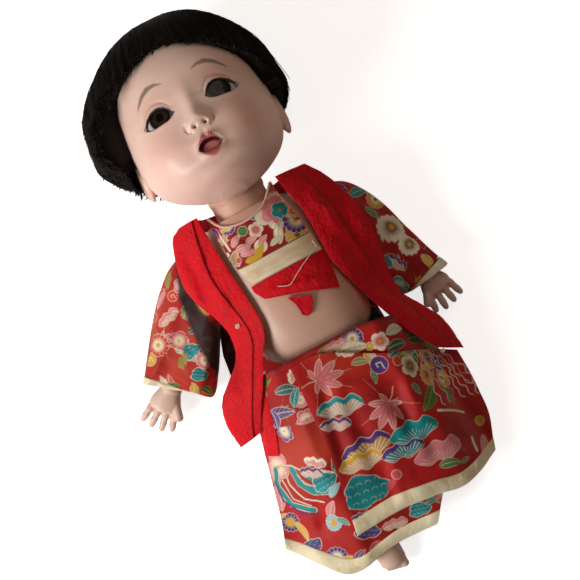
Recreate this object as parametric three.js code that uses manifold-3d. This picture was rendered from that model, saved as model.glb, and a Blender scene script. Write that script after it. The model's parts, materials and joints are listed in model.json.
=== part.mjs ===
// An ichimatsu doll lying on its back: a composition head and limbs on stuffed cotton joints, in an opened
// printed silk kimono with a red crepe collar. Lengths are millimetres. +Z leaves the chest, +Y runs to the
// crown and +X to the doll's left hand; the origin is under the chest, on the surface that the doll lies on.
import * as THREE from "three";
import { mergeVertices } from "three/addons/utils/BufferGeometryUtils.js";
import Module from "manifold-3d";

const wasm = await Module();
wasm.setup();

// Clearances and cloth thicknesses.
const seatGap = 0.35;
const turnGap = 0.6;
const silk = 1.4;
const backSilk = 2.2;
const crepe = 2.6;
const overrun = 30;

// Head.
const headHalfWidth = 50;
const headUpperHeight = 60;
const headLowerHeight = 60;
const headForward = 48;
const headBack = 51;
const headCentreY = 130;
const headCentreZ = 56;
const headTilt = THREE.MathUtils.degToRad(15);

// Neck, and the wooden peg that it turns on.
const neckRadius = 20;
const neckAxisZ = 44;
const neckFootY = 50;
const neckHeight = 40;
const pegRadius = 8;
const pegLength = 44;
const pegInNeck = 16;

// Glass eyes.
const eyeRadius = 10.5;
const eyeSpread = 21.5;
const eyeDrop = 8;
const eyeRecess = 0.6;
const eyeOpeningWidth = 20;
const eyeOpeningHeight = 10.4;

// Hair.
const hairTop = 10;
const hairSide = 9;
const hairFlare = 11;
const hairBack = 7;
const hairline = 33;
const hairCutSide = 9;
const fringeHalfWidth = 46;
const fringeCorner = 25;
const fringeFront = 9;
const napeSlope = 0.42;

// Torso.
const torsoTopY = 60;
const torsoBottomY = -46;
const torsoHalfWidth = 41;
const torsoHalfDepth = 32;
const torsoLean = 9;
const torsoRise = 6.5;

// Arms, as the places of their joints and ends.
const shoulderY = 40;
const shoulderZ = 29;
const shoulderInset = 2.5;
const shoulderBall = 12;
const elbowBall = 10.5;
const upperArmSwell = 12.6;
const forearmSwell = 10.4;
const wristRadius = 7.4;
const elbowSetBack = 8.8;
const palmHalfWidth = 11;
const palmHalfThickness = 6.2;
const fingerRadius = 3.1;
const fingerLength = 14;

// Legs.
const hipY = -60;
const hipZ = 23.5;
const hipSpread = 19;
const hipBall = 18.5;
const kneeRadius = 15.5;
const calfRadius = 14.5;
const ankleRadius = 10;
const footHalfWidth = 9.5;
const footHalfHeight = 7.5;

// Bindings of waxed thread.
const threadRadius = 0.8;
const threadTurns = 3;

// Clothes. The outlines below are shares of this reach.
const reach = 100;
const sleeveCuff = 9;
const hemDepth = 8.5;
const foldHeight = 2.2;
const collarRoll = 1.6;
const collarSeat = { right: 1.5, left: 1.6 };

const paint = (color, roughness = 0.8, metalness = 0) =>
  new THREE.MeshStandardMaterial({ color, roughness, metalness });
const finish = {
  gofun: paint(0xeccfbd, 0.5),
  glass: paint(0x2b140b, 0.08),
  hair: paint(0x0d0a09, 0.55),
  cotton: paint(0xe3d3ba, 0.9),
  wood: paint(0xb98a55, 0.7),
  thread: paint(0xe9e2cf, 0.8),
  printedSilk: paint(0xb01a18, 0.6),
  creamSilk: paint(0xe6d7a2, 0.6),
  redCrepe: paint(0xb00712, 0.75),
};

// A smooth curve through hand-chosen points, read at x.
function through(xs, ys) {
  const slopes = xs.map((_, i) => {
    const a = Math.max(i - 1, 0);
    const b = Math.min(i + 1, xs.length - 1);
    return (ys[b] - ys[a]) / (xs[b] - xs[a]);
  });
  return (x) => {
    const held = Math.min(Math.max(x, xs[0]), xs[xs.length - 1]);
    let i = 0;
    while (i < xs.length - 2 && held > xs[i + 1]) i++;
    const step = xs[i + 1] - xs[i];
    const t = (held - xs[i]) / step;
    const rise = ys[i + 1] - ys[i];
    const near = slopes[i] * step - rise;
    const far = rise - slopes[i + 1] * step;
    return ys[i] + rise * t + t * (1 - t) * (near * (1 - t) + far * t);
  };
}

const clamp01 = (t) => Math.min(Math.max(t, 0), 1);
const smooth = (t) => clamp01(t) ** 2 * (3 - 2 * clamp01(t));
const bump = (a, b) => Math.exp(-(a * a + b * b) / 2);

// Superellipse: the point at an angle on a rounded section.
function rounded(angle, width, depth, power) {
  const c = Math.cos(angle);
  const s = Math.sin(angle);
  const bend = 2 / power;
  return [
    width * Math.sign(c) * Math.abs(c) ** bend,
    depth * Math.sign(s) * Math.abs(s) ** bend,
  ];
}

// A BufferGeometry of points and triangles, turned to face outwards.
function faced(points, triangles) {
  let volume = 0;
  for (const [a, b, c] of triangles)
    volume += points[a].dot(new THREE.Vector3().crossVectors(points[b], points[c]));
  const order = volume < 0 ? triangles.map(([a, b, c]) => [a, c, b]) : triangles;
  const geometry = new THREE.BufferGeometry();
  const flat = points.flatMap((p) => [p.x, p.y, p.z]);
  geometry.setAttribute("position", new THREE.Float32BufferAttribute(flat, 3));
  geometry.setIndex(order.flat());
  return geometry;
}

// A closed skin over rings of points; a ring of one point is a pole.
function loft(rings, looped = false) {
  const points = rings.flat();
  const starts = [];
  let count = 0;
  for (const ring of rings) {
    starts.push(count);
    count += ring.length;
  }
  const triangles = [];
  const last = looped ? rings.length : rings.length - 1;
  for (let i = 0; i < last; i++) {
    const j = (i + 1) % rings.length;
    const n = Math.max(rings[i].length, rings[j].length);
    const at = (ring, k) => starts[ring] + (rings[ring].length === 1 ? 0 : k % n);
    for (let k = 0; k < n; k++) {
      const [a, b, c, d] = [at(i, k), at(i, k + 1), at(j, k + 1), at(j, k)];
      if (a !== b) triangles.push([a, b, c]);
      if (c !== d) triangles.push([a, c, d]);
    }
  }
  return faced(points, triangles);
}

// Closed sheet of cloth: place(u, v) is its face, below(u, v) its underside.
function sheet(across, along, place, below) {
  const points = [];
  for (const side of [place, below])
    for (let j = 0; j <= along; j++)
      for (let i = 0; i <= across; i++) points.push(side(i / across, j / along));
  const layer = (across + 1) * (along + 1);
  const at = (i, j, side) => side * layer + j * (across + 1) + i;
  const triangles = [];
  const quad = (a, b, c, d) => triangles.push([a, b, c], [a, c, d]);
  for (let j = 0; j < along; j++)
    for (let i = 0; i < across; i++) {
      quad(at(i, j, 0), at(i + 1, j, 0), at(i + 1, j + 1, 0), at(i, j + 1, 0));
      quad(at(i, j, 1), at(i, j + 1, 1), at(i + 1, j + 1, 1), at(i + 1, j, 1));
    }
  for (let i = 0; i < across; i++) {
    quad(at(i, 0, 1), at(i + 1, 0, 1), at(i + 1, 0, 0), at(i, 0, 0));
    quad(at(i, along, 0), at(i + 1, along, 0), at(i + 1, along, 1), at(i, along, 1));
  }
  for (let j = 0; j < along; j++) {
    quad(at(0, j, 0), at(0, j + 1, 0), at(0, j + 1, 1), at(0, j, 1));
    quad(at(across, j, 1), at(across, j + 1, 1), at(across, j + 1, 0), at(across, j, 0));
  }
  return faced(points, triangles);
}

// Rounded limb along a smooth path, with round ends. radii(t) is [across, through].
function limb(path, radii, rings, sides, startRound = 1, endRound = 1) {
  const curve = new THREE.CatmullRomCurve3(path, false, "centripetal");
  const loops = [];
  const upright = new THREE.Vector3(0, 0, 1);
  const length = curve.getLength();
  const place = (t, offset, shrink) => {
    const centre = curve.getPointAt(t);
    const forward = curve.getTangentAt(t);
    const across = new THREE.Vector3().crossVectors(forward, upright).normalize();
    const up = new THREE.Vector3().crossVectors(across, forward);
    const [w, d] = radii(t);
    centre.addScaledVector(forward, offset);
    if (shrink === 0) return [centre];
    return Array.from({ length: sides }, (_, k) => {
      const [a, b] = rounded((2 * Math.PI * k) / sides, w * shrink, d * shrink, 2);
      return centre.clone().addScaledVector(across, a).addScaledVector(up, b);
    });
  };
  const cap = [1, 0.72, 0.36];
  const capSteps = cap.map((x) => [x, Math.sqrt(1 - x * x)]);
  for (const [x, s] of capSteps) loops.push(place(0, -x * radii(0)[0] * startRound, s));
  for (let i = 0; i <= rings; i++) loops.push(place(i / rings, 0, 1));
  for (const [x, s] of [...capSteps].reverse()) loops.push(place(1, x * radii(1)[0] * endRound, s));
  return { geometry: loft(loops), curve, length };
}

function solid(geometry) {
  const bare = geometry.clone();
  bare.deleteAttribute("normal");
  bare.deleteAttribute("uv");
  const merged = mergeVertices(bare, 1e-4);
  return new wasm.Manifold(
    new wasm.Mesh({
      numProp: 3,
      vertProperties: merged.attributes.position.array,
      triVerts: new Uint32Array(merged.index.array),
    }),
  );
}

function fromSolid(made) {
  const mesh = made.getMesh();
  const flat = Array.from(mesh.vertProperties);
  const geometry = new THREE.BufferGeometry();
  geometry.setAttribute("position", new THREE.Float32BufferAttribute(flat, 3));
  geometry.setIndex(Array.from(mesh.triVerts));
  return geometry;
}

const cut = (from, ...tools) => tools.reduce((a, b) => a.subtract(solid(b)), from);
const join = (first, ...more) => more.reduce((a, b) => a.add(solid(b)), first);

const doll = new THREE.Group();

function piece(name, geometry, material) {
  const mesh = new THREE.Mesh(geometry, material);
  mesh.name = name;
  doll.add(mesh);
  return mesh;
}

function ball(centre, radius, around = 20) {
  const geometry = new THREE.SphereGeometry(radius, around, Math.round(around * 0.7));
  return geometry.translate(centre.x, centre.y, centre.z);
}

// A rod along Y from one height to another.
function rodY(x, z, radius, from, to, around = 28) {
  const geometry = new THREE.CylinderGeometry(radius, radius, to - from, around);
  return geometry.translate(x, (from + to) / 2, z);
}

// The head's own frame: across, up towards the crown, and forward out of the face.
function headPoint(across, up, forward) {
  const c = Math.cos(headTilt);
  const s = Math.sin(headTilt);
  return new THREE.Vector3(
    across,
    headCentreY + up * c + forward * s,
    headCentreZ - up * s + forward * c,
  );
}

// Outline of the head by height, as shares of its half height, half width and depths.
const heightShares = [-1, -0.94, -0.83, -0.68, -0.5, -0.33, -0.16, 0.05, 0.3, 0.55, 0.76, 0.92, 1];
const widthShares = [0.16, 0.42, 0.67, 0.87, 0.97, 0.995, 1, 0.995, 0.965, 0.87, 0.68, 0.42, 0.12];
const forwardShares = [0.3, 0.62, 0.8, 0.83, 0.87, 0.91, 0.95, 0.99, 1, 0.9, 0.7, 0.42, 0.12];
const backShares = [0.16, 0.26, 0.42, 0.64, 0.83, 0.93, 0.98, 1, 0.99, 0.89, 0.7, 0.42, 0.12];
const widthAt = through(heightShares, widthShares);
const forwardAt = through(heightShares, forwardShares);
const backAt = through(heightShares, backShares);

// The modelled features: place across and up, height, and spread across and up, all as shares of the head.
const featureShares = [
  [0, -0.37, 0.105, 0.085, 0.07],
  [0, -0.19, 0.04, 0.07, 0.15],
  [0.115, -0.41, 0.045, 0.05, 0.045],
  [0.5, -0.54, 0.06, 0.24, 0.2],
  [0, -0.595, 0.05, 0.17, 0.05],
  [0, -0.745, 0.045, 0.15, 0.05],
  [0, -0.665, -0.06, 0.1, 0.035],
  [0, -0.855, -0.035, 0.2, 0.035],
  [0, -0.94, 0.05, 0.22, 0.06],
  [0.43, -0.12, -0.055, 0.24, 0.13],
];

function faceRelief(across, up) {
  const x = across / headHalfWidth;
  const y = up / headLowerHeight;
  let relief = 0;
  for (const [px, py, height, sx, sy] of featureShares) {
    const sides = px === 0 ? [0] : [-px, px];
    for (const side of sides) relief += height * bump((x - side) / sx, (y - py) / sy);
  }
  return relief * headForward;
}

// How far the facets crowd towards the face.
const faceCrowding = 0.4;

// A ring of the head at a height share, grown by grow(angle, share).
function headRing(share, sides, grow = () => 0, relief = 1) {
  const width = widthAt(share) * headHalfWidth;
  const front = forwardAt(share) * headForward;
  const back = backAt(share) * headBack;
  const up = share * (share < 0 ? headLowerHeight : headUpperHeight);
  return Array.from({ length: sides }, (_, k) => {
    const even = (2 * Math.PI * k) / sides;
    const angle = even + faceCrowding * Math.cos(even);
    const depth = Math.sin(angle) > 0 ? front : back;
    const extra = grow(angle, share);
    const [across, out] = rounded(angle, width + extra, depth + extra, 2.2);
    const facing = smooth(Math.sin(angle) * 1.6);
    return headPoint(across, up, out + relief * facing * faceRelief(across, up));
  });
}

function headBody(rings, sides, grow, relief, poleGrow = 0) {
  const pole = (share, forward) => {
    const up = share * (share < 0 ? headLowerHeight : headUpperHeight) + Math.sign(share) * poleGrow;
    return [headPoint(0, up, forward * headForward)];
  };
  const body = [pole(-1, 0.08)];
  for (let i = 1; i < rings; i++) {
    const share = -Math.cos((Math.PI * i) / rings);
    const ring = headRing(share, sides, grow, relief);
    if (poleGrow > 0) {
      const lift = headPoint(0, share * poleGrow, 0).sub(headPoint(0, 0, 0));
      ring.forEach((p) => p.add(lift));
    }
    body.push(ring);
  }
  body.push(pole(1, 0));
  return loft(body);
}

// Almond outline of an eye opening, in the head's frame, as a prism out of the face.
function eyePrism(side) {
  const half = eyeOpeningWidth / 2;
  const rise = eyeOpeningHeight / 2;
  const outline = new THREE.Shape();
  outline.moveTo(-half, 0);
  outline.bezierCurveTo(-half / 2, rise * 1.25, half / 2, rise * 1.25, half, 0);
  outline.bezierCurveTo(half / 2, -rise * 1.1, -half / 2, -rise * 1.1, -half, 0);
  const geometry = new THREE.ExtrudeGeometry(outline, {
    depth: headForward,
    bevelEnabled: false,
    curveSegments: 8,
  });
  const centre = eyeCentre(side);
  geometry.applyMatrix4(headTurn());
  return geometry.translate(centre.x, centre.y, centre.z);
}

const headTurn = () => new THREE.Matrix4().makeRotationX(-headTilt);

function eyeCentre(side) {
  const lid = rounded(Math.acos(eyeSpread / headHalfWidth), headHalfWidth, headForward, 2.2)[1];
  const relief = faceRelief(side * eyeSpread, -eyeDrop);
  return headPoint(side * eyeSpread, -eyeDrop, lid * forwardAt(-eyeDrop / headLowerHeight) + relief - eyeRadius - eyeRecess);
}

function ear(side, clear = 0) {
  const outer = new THREE.SphereGeometry(1, 12, 8);
  const size = [headHalfWidth * 0.11, headLowerHeight * 0.26, headBack * 0.2];
  outer.scale(...size.map((value) => value + clear));
  outer.rotateY(side * 0.5);
  const hollow = new THREE.SphereGeometry(1, 8, 6);
  hollow.scale(size[0] * 0.5, size[1] * 0.62, size[2] * 0.6);
  hollow.rotateY(side * 0.5);
  const place = headPoint(side * headHalfWidth * 0.985, -headLowerHeight * 0.36, -headBack * 0.16);
  const shift = headPoint(side * headHalfWidth * 1.06, -headLowerHeight * 0.34, -headBack * 0.1);
  for (const [shape, at] of [[outer, place], [hollow, shift]]) {
    shape.applyMatrix4(headTurn());
    shape.translate(at.x, at.y, at.z);
  }
  return { outer, hollow };
}

// The parted lips and the two nostrils, as small pockets.
function mouthAndNostrils() {
  const pocket = (across, up, forward, size) => {
    const shape = new THREE.SphereGeometry(1, 12, 8);
    shape.scale(...size.map((share) => share * headHalfWidth));
    shape.applyMatrix4(headTurn());
    const at = headPoint(across * headHalfWidth, up * headLowerHeight, forward * headForward);
    return shape.translate(at.x, at.y, at.z);
  };
  return [
    pocket(0, -0.665, 0.84, [0.12, 0.028, 0.1]),
    pocket(-0.072, -0.435, 0.955, [0.03, 0.02, 0.05]),
    pocket(0.072, -0.435, 0.955, [0.03, 0.02, 0.05]),
  ];
}

function makeHead() {
  const ears = [-1, 1].map((side) => ear(side));
  const neck = rodY(0, neckAxisZ, neckRadius, neckFootY, neckFootY + neckHeight, 32);
  let head = join(solid(headBody(26, 38, undefined, 1)), neck, ...ears.map((e) => e.outer));
  head = cut(head, ...ears.map((e) => e.hollow));
  const bore = rodY(0, neckAxisZ, pegRadius + seatGap, neckFootY - overrun, neckFootY + pegInNeck + seatGap, 20);
  head = cut(head, bore, eyePrism(-1), eyePrism(1));
  head = cut(head, ball(eyeCentre(-1), eyeRadius + seatGap * 1.5, 14), ball(eyeCentre(1), eyeRadius + seatGap * 1.5, 14));
  head = cut(head, ...mouthAndNostrils());
  piece("head", fromSolid(head), finish.gofun);
  piece("eye_right", ball(eyeCentre(-1), eyeRadius, 14), finish.glass);
  piece("eye_left", ball(eyeCentre(1), eyeRadius, 14), finish.glass);
  const peg = rodY(0, neckAxisZ, pegRadius, neckFootY + pegInNeck - pegLength, neckFootY + pegInNeck, 20);
  piece("neck_peg", peg, finish.wood);
}

// Bobbed hair: a thick cap that stands out to the right, open over the face and cut off at the ears.
function makeHair() {
  const grow = (angle, share) => {
    const side = Math.cos(angle);
    const low = smooth((0.75 - share) / 1.1);
    const right = side < 0 ? hairFlare * low * -side : 0;
    const behind = Math.max(-Math.sin(angle), 0);
    return hairSide + (hairBack - hairSide) * behind + right;
  };
  const outer = solid(headBody(16, 28, grow, 0, hairTop));
  const inner = headBody(26, 38, () => seatGap, 1, seatGap);
  const ears = [-1, 1].map((side) => {
    const { outer: shape } = ear(side, seatGap);
    return shape;
  });
  const opening = new THREE.Shape();
  opening.moveTo(-fringeHalfWidth, -2 * headLowerHeight);
  opening.lineTo(-fringeHalfWidth, hairline - fringeCorner);
  opening.quadraticCurveTo(-fringeHalfWidth, hairline, fringeCorner - fringeHalfWidth, hairline);
  opening.lineTo(fringeHalfWidth - fringeCorner, hairline);
  opening.quadraticCurveTo(fringeHalfWidth, hairline, fringeHalfWidth, hairline - fringeCorner);
  opening.lineTo(fringeHalfWidth, -2 * headLowerHeight);
  const face = new THREE.ExtrudeGeometry(opening, { depth: 3 * headForward, bevelEnabled: false, curveSegments: 8 });
  face.translate(0, 0, fringeFront);
  const cutSize = 6 * headHalfWidth;
  const below = new THREE.BoxGeometry(cutSize, cutSize, cutSize);
  below.translate(0, -cutSize / 2 - hairCutSide, 0);
  below.rotateX(napeSlope);
  for (const tool of [face, below]) {
    tool.applyMatrix4(headTurn());
    tool.translate(0, headCentreY, headCentreZ);
  }
  const floor = new THREE.BoxGeometry(cutSize, cutSize, cutSize).translate(0, headCentreY, -cutSize / 2);
  const cap = cut(outer, inner, ...ears, face, below, floor);
  const pieces = cap.decompose().sort((a, b) => b.volume() - a.volume());
  piece("hair", fromSolid(pieces[0]), finish.hair);
}

// A curve through outline shares, given in the reach and read from 0 to 1.
function outline(shares) {
  const steps = shares.map((_, i) => i / (shares.length - 1));
  const axes = shares[0].map((_, axis) => through(steps, shares.map((point) => point[axis] * reach)));
  return (t) => axes.map((axis) => axis(t));
}

// Torso, by shares of its length from the neck down.
const torsoShares = [0, 0.05, 0.12, 0.22, 0.36, 0.5, 0.66, 0.8, 0.9, 0.96, 1];
const torsoWidthShares = [0.68, 0.78, 0.87, 0.94, 0.975, 0.98, 1, 0.99, 0.93, 0.8, 0.56];
const torsoDepthShares = [0.74, 0.83, 0.9, 0.95, 0.98, 1, 1.03, 1.02, 0.95, 0.82, 0.58];
const torsoRiseShares = [1, 0.85, 0.62, 0.35, 0.12, 0.03, 0, 0, 0, 0, 0];
const torsoWidthAt = through(torsoShares, torsoWidthShares);
const torsoDepthAt = through(torsoShares, torsoDepthShares);
const torsoRiseAt = through(torsoShares, torsoRiseShares);
const torsoPower = 2.3;
const torsoFloor = backSilk + seatGap;

function torsoAt(y) {
  const share = (torsoTopY - y) / (torsoTopY - torsoBottomY);
  const depth = torsoDepthAt(share) * torsoHalfDepth;
  return {
    x: torsoLean * clamp01(share) ** 1.2,
    z: torsoFloor + torsoHalfDepth * 1.03 + torsoRiseAt(share) * torsoRise,
    width: torsoWidthAt(share) * torsoHalfWidth,
    depth,
  };
}

// Height of the front of the torso over a place.
function torsoFront(x, y) {
  const { x: middle, z, width, depth } = torsoAt(y);
  const out = Math.min(Math.abs((x - middle) / width), 1);
  return z + depth * (1 - out ** torsoPower) ** (1 / torsoPower);
}

function overTorso(x, y) {
  const { x: middle, width } = torsoAt(y);
  return y < torsoTopY && y > torsoBottomY && Math.abs(x - middle) < width;
}

const shoulderAt = (side) => {
  const { x, width } = torsoAt(shoulderY);
  return new THREE.Vector3(x + side * (width + shoulderBall - shoulderInset), shoulderY, shoulderZ);
};
const hipAt = (side) => new THREE.Vector3(torsoLean + side * hipSpread, hipY, hipZ);

function makeTorso() {
  const sides = 28;
  const rows = 16;
  const rings = [];
  for (let i = 0; i <= rows; i++) {
    const share = (1 - Math.cos((Math.PI * i) / rows)) / 2;
    const y = torsoTopY + (torsoBottomY - torsoTopY) * share;
    const { x, z, width, depth } = torsoAt(y);
    if (i === 0) rings.push([new THREE.Vector3(x, y, z)]);
    rings.push(
      Array.from({ length: sides }, (_, k) => {
        const [a, b] = rounded((2 * Math.PI * k) / sides, width, depth, torsoPower);
        return new THREE.Vector3(x + a, y, z + b);
      }),
    );
    if (i === rows) rings.push([new THREE.Vector3(x, y, z)]);
  }
  const socket = rodY(0, neckAxisZ, neckRadius + turnGap, neckFootY - seatGap, torsoTopY + overrun, 32);
  const pegEnd = neckFootY + pegInNeck - pegLength;
  const bore = rodY(0, neckAxisZ, pegRadius + seatGap, pegEnd - seatGap, torsoTopY, 20);
  const thighs = [-1, 1].flatMap((side) => {
    const hip = hipAt(side);
    const raised = new THREE.CylinderGeometry(hipBall + turnGap, hipBall + turnGap, reach, 24);
    raised.rotateX(Math.PI / 2).translate(hip.x, hip.y, hip.z + reach / 2);
    return [raised, ball(hip, hipBall + turnGap, 20)];
  });
  const arms = [-1, 1].map((side) => ball(shoulderAt(side), shoulderBall + turnGap * 1.6, 16));
  piece("torso", fromSolid(cut(solid(loft(rings)), socket, bore, ...thighs, ...arms)), finish.gofun);
}

// Arms: places of the elbow, wrist and hand, as shares of the reach.
const armShares = {
  right: { elbow: [-0.735, 0.065, 0.158], wrist: [-1.03, -0.25, 0.11], tip: [-1.24, -0.43, 0.078] },
  left: { elbow: [0.735, 0.025, 0.158], wrist: [0.935, -0.355, 0.11], tip: [0.985, -0.57, 0.078] },
};
const placed = (shares) => new THREE.Vector3(...shares.map((share) => share * reach));

function armPlaces(name) {
  const side = name === "left" ? 1 : -1;
  const { elbow, wrist, tip } = armShares[name];
  return { side, shoulder: shoulderAt(side), elbow: placed(elbow), wrist: placed(wrist), tip: placed(tip) };
}

// Thread wound round a limb: a ring with one ridge for each turn.
function binding(centre, direction, radius) {
  const profile = [];
  const half = threadTurns * threadRadius;
  profile.push(new THREE.Vector2(radius, -half));
  for (let i = 0; i < threadTurns; i++) {
    const middle = (2 * i + 1) * threadRadius - half;
    profile.push(new THREE.Vector2(radius + threadRadius, middle - threadRadius * 0.8));
    profile.push(new THREE.Vector2(radius + threadRadius * 1.8, middle));
    profile.push(new THREE.Vector2(radius + threadRadius, middle + threadRadius * 0.8));
  }
  profile.push(new THREE.Vector2(radius, half), new THREE.Vector2(radius, -half));
  const ring = new THREE.LatheGeometry(profile, 14);
  const turn = new THREE.Quaternion().setFromUnitVectors(new THREE.Vector3(0, 1, 0), direction);
  ring.applyQuaternion(turn).translate(centre.x, centre.y, centre.z);
  return ring;
}

const bindingPlace = 4.2;

function makeArm(name) {
  const { shoulder, elbow, wrist, tip, side } = armPlaces(name);
  const armRadius = through([0, 0.3, 0.7, 1], [shoulderBall, upperArmSwell, upperArmSwell * 0.94, elbowBall]);
  const upper = limb([shoulder, elbow], (t) => [armRadius(t), armRadius(t)], 4, 14);
  piece(`upper_arm_${name}`, upper.geometry, finish.cotton);
  const forward = wrist.clone().sub(elbow).normalize();
  const from = elbow.clone().addScaledVector(forward, elbowSetBack);
  const shares = [1, 1.03, 1.01, 0.93, 0.8, 0.72];
  const slim = through([0, 0.2, 0.4, 0.6, 0.8, 1], shares);
  const body = limb([from, wrist], (t) => [forearmSwell * slim(t), forearmSwell * slim(t)], 5, 14, 0, 1);
  const palmEnd = wrist.clone().lerp(tip, 0.55);
  const palm = limb([wrist, palmEnd], (t) => {
    const wide = wristRadius + (palmHalfWidth - wristRadius) * smooth(t * 1.4);
    return [wide, palmHalfThickness];
  }, 3, 12, 0.5, 0.35);
  const hand = tip.clone().sub(wrist).normalize();
  const across = new THREE.Vector3(-hand.y, hand.x, 0).multiplyScalar(side);
  const digits = [-0.72, -0.25, 0.22, 0.68].map((place, i) => {
    const root = palmEnd.clone().addScaledVector(across, place * palmHalfWidth);
    const length = fingerLength * [0.8, 1, 0.98, 0.86][i];
    const spread = hand.clone().addScaledVector(across, place * 0.3).multiplyScalar(length);
    const end = root.clone().add(spread);
    end.z -= length * 0.12;
    return limb([root, end], (t) => [fingerRadius * (1 - 0.25 * t), fingerRadius * (1 - 0.25 * t)], 1, 7).geometry;
  });
  const thumbRoot = wrist.clone().lerp(palmEnd, 0.35).addScaledVector(across, -side * side * 0.55 * palmHalfWidth);
  const thumbEnd = thumbRoot.clone().addScaledVector(hand, fingerLength * 0.85);
  thumbEnd.addScaledVector(across, -fingerLength * 0.62);
  thumbEnd.z += fingerRadius;
  digits.push(limb([thumbRoot, thumbEnd], () => [fingerRadius, fingerRadius], 1, 7).geometry);
  let forearm = join(solid(body.geometry), palm.geometry, ...digits);
  forearm = cut(forearm, ball(elbow, elbowBall + turnGap, 16));
  piece(`forearm_${name}`, fromSolid(forearm), finish.gofun);
  const bound = elbow.clone().addScaledVector(forward, elbowSetBack + bindingPlace);
  piece(`arm_binding_${name}`, binding(bound, forward, forearmSwell * 1.03 + seatGap), finish.thread);
}

// Legs: places of the knee, ankle, heel and toes, as shares of the reach.
const legShares = {
  right: { bind: [-0.132, -0.93, 0.314], knee: [-0.15, -1.12, 0.36], calf: [-0.18, -1.44, 0.25], ankle: [-0.2, -1.74, 0.143] },
  left: { bind: [0.261, -0.93, 0.314], knee: [0.25, -1.12, 0.36], calf: [0.23, -1.4, 0.25], ankle: [0.215, -1.6, 0.143] },
};
const toeShares = { right: [-0.185, -1.95, 0.075], left: [0.18, -1.78, 0.075] };

function makeLeg(name) {
  const side = name === "left" ? 1 : -1;
  const hip = hipAt(side);
  const [bind, knee, calf, ankle] = Object.values(legShares[name]).map(placed);
  const toe = placed(toeShares[name]);
  const thighRadius = through([0, 0.4, 0.8, 1], [hipBall, hipBall * 0.99, hipBall * 0.93, hipBall * 0.82]);
  const thigh = limb([hip, bind], (t) => [thighRadius(t), thighRadius(t)], 5, 20, 1, 0);
  const seam = knee.clone().sub(bind).normalize();
  const radii = through([0, 0.2, 0.5, 0.85, 1], [kneeRadius * 0.94, kneeRadius, calfRadius, ankleRadius, ankleRadius]);
  const from = bind.clone().addScaledVector(seam, seatGap * 2);
  const shin = limb([from, knee, calf, ankle], (t) => [radii(t), radii(t)], 10, 18, 0, 0.7);
  const foot = limb([ankle, ankle.clone().lerp(toe, 0.6), toe], (t) => {
    const flat = smooth(t);
    return [ankleRadius + (footHalfWidth - ankleRadius) * flat, ankleRadius + (footHalfHeight - ankleRadius) * flat];
  }, 4, 14, 0.6, 0.5);
  const leg = join(solid(shin.geometry), foot.geometry);
  const clear = limb([hip, bind], (t) => [thighRadius(t) + seatGap, thighRadius(t) + seatGap], 5, 20, 1, 0);
  piece(`thigh_${name}`, thigh.geometry, finish.cotton);
  piece(`lower_leg_${name}`, fromSolid(cut(leg, clear.geometry)), finish.gofun);
  const bound = bind.clone().addScaledVector(seam, bindingPlace);
  piece(`leg_binding_${name}`, binding(bound, seam, kneeRadius * 1.02 + seatGap), finish.thread);
}

// Clothes. Each outline is a list of places across, up and, where given, high, as shares of the reach.

// A patch between four outlines: its left and right edges run down, its top and foot run across.
function patch(left, right, top, foot) {
  return (u, v) => {
    const [l, r, t, f] = [left(v), right(v), top(u), foot(u)];
    const corners = [left(0), right(0), left(1), right(1)];
    return l.map((_, i) => {
      const across = l[i] * (1 - u) + r[i] * u;
      const down = t[i] * (1 - v) + f[i] * v;
      const upper = corners[0][i] * (1 - u) + corners[1][i] * u;
      const lower = corners[2][i] * (1 - u) + corners[3][i] * u;
      return across + down - upper * (1 - v) - lower * v;
    });
  };
}

// Cloth laid on a height: from(u, v) gives its place, and its height comes from over(x, y).
function laid(name, cells, from, over, thick, material, [low, high] = [0, 1]) {
  const span = (v) => low + (high - low) * v;
  const place = (u, v) => {
    const [x, y] = from(u, span(v));
    return new THREE.Vector3(x, y, over(x, y) + thick);
  };
  const below = (u, v) => {
    const [x, y] = from(u, span(v));
    return new THREE.Vector3(x, y, over(x, y));
  };
  return piece(name, sheet(...cells, place, below), material);
}

// The least lift that keeps a height clear of what lies beneath it.
function lifted(height, supports, gap) {
  let lift = -reach;
  const point = new THREE.Vector3();
  for (const name of supports) {
    const { position } = doll.getObjectByName(name).geometry.attributes;
    for (let i = 0; i < position.count; i++) {
      point.fromBufferAttribute(position, i);
      lift = Math.max(lift, point.z - height(point.x, point.y));
    }
  }
  return lift + gap;
}

// The same for a cloth given by its places: at(u, v, lift).
function seated(at, across, rows, supports, gap) {
  const samples = [];
  const between = 6;
  for (let j = 0; j < rows * between; j++)
    for (let i = 0; i <= across * between; i++) {
      const [u, v] = [i / between, j / between];
      const [left, top] = [Math.min(Math.floor(u), across - 1), Math.floor(v)];
      const corner = (a, b) => at((left + a) / across, (top + b) / rows, 0);
      const upper = corner(0, 0).lerp(corner(1, 0), u - left);
      const lower = corner(0, 1).lerp(corner(1, 1), u - left);
      samples.push(upper.lerp(lower, v - top));
    }
  const near = samples[0].distanceTo(samples[1]);
  let lift = -reach;
  for (const sample of samples)
    if (overTorso(sample.x, sample.y)) lift = Math.max(lift, torsoFront(sample.x, sample.y) - sample.z);
  const point = new THREE.Vector3();
  for (const name of supports) {
    const { position } = doll.getObjectByName(name).geometry.attributes;
    for (let i = 0; i < position.count; i++) {
      point.fromBufferAttribute(position, i);
      for (const sample of samples) {
        const away = Math.hypot(point.x - sample.x, point.y - sample.y);
        if (away < near) lift = Math.max(lift, point.z - sample.z);
      }
    }
  }
  return lift + gap;
}

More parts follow.
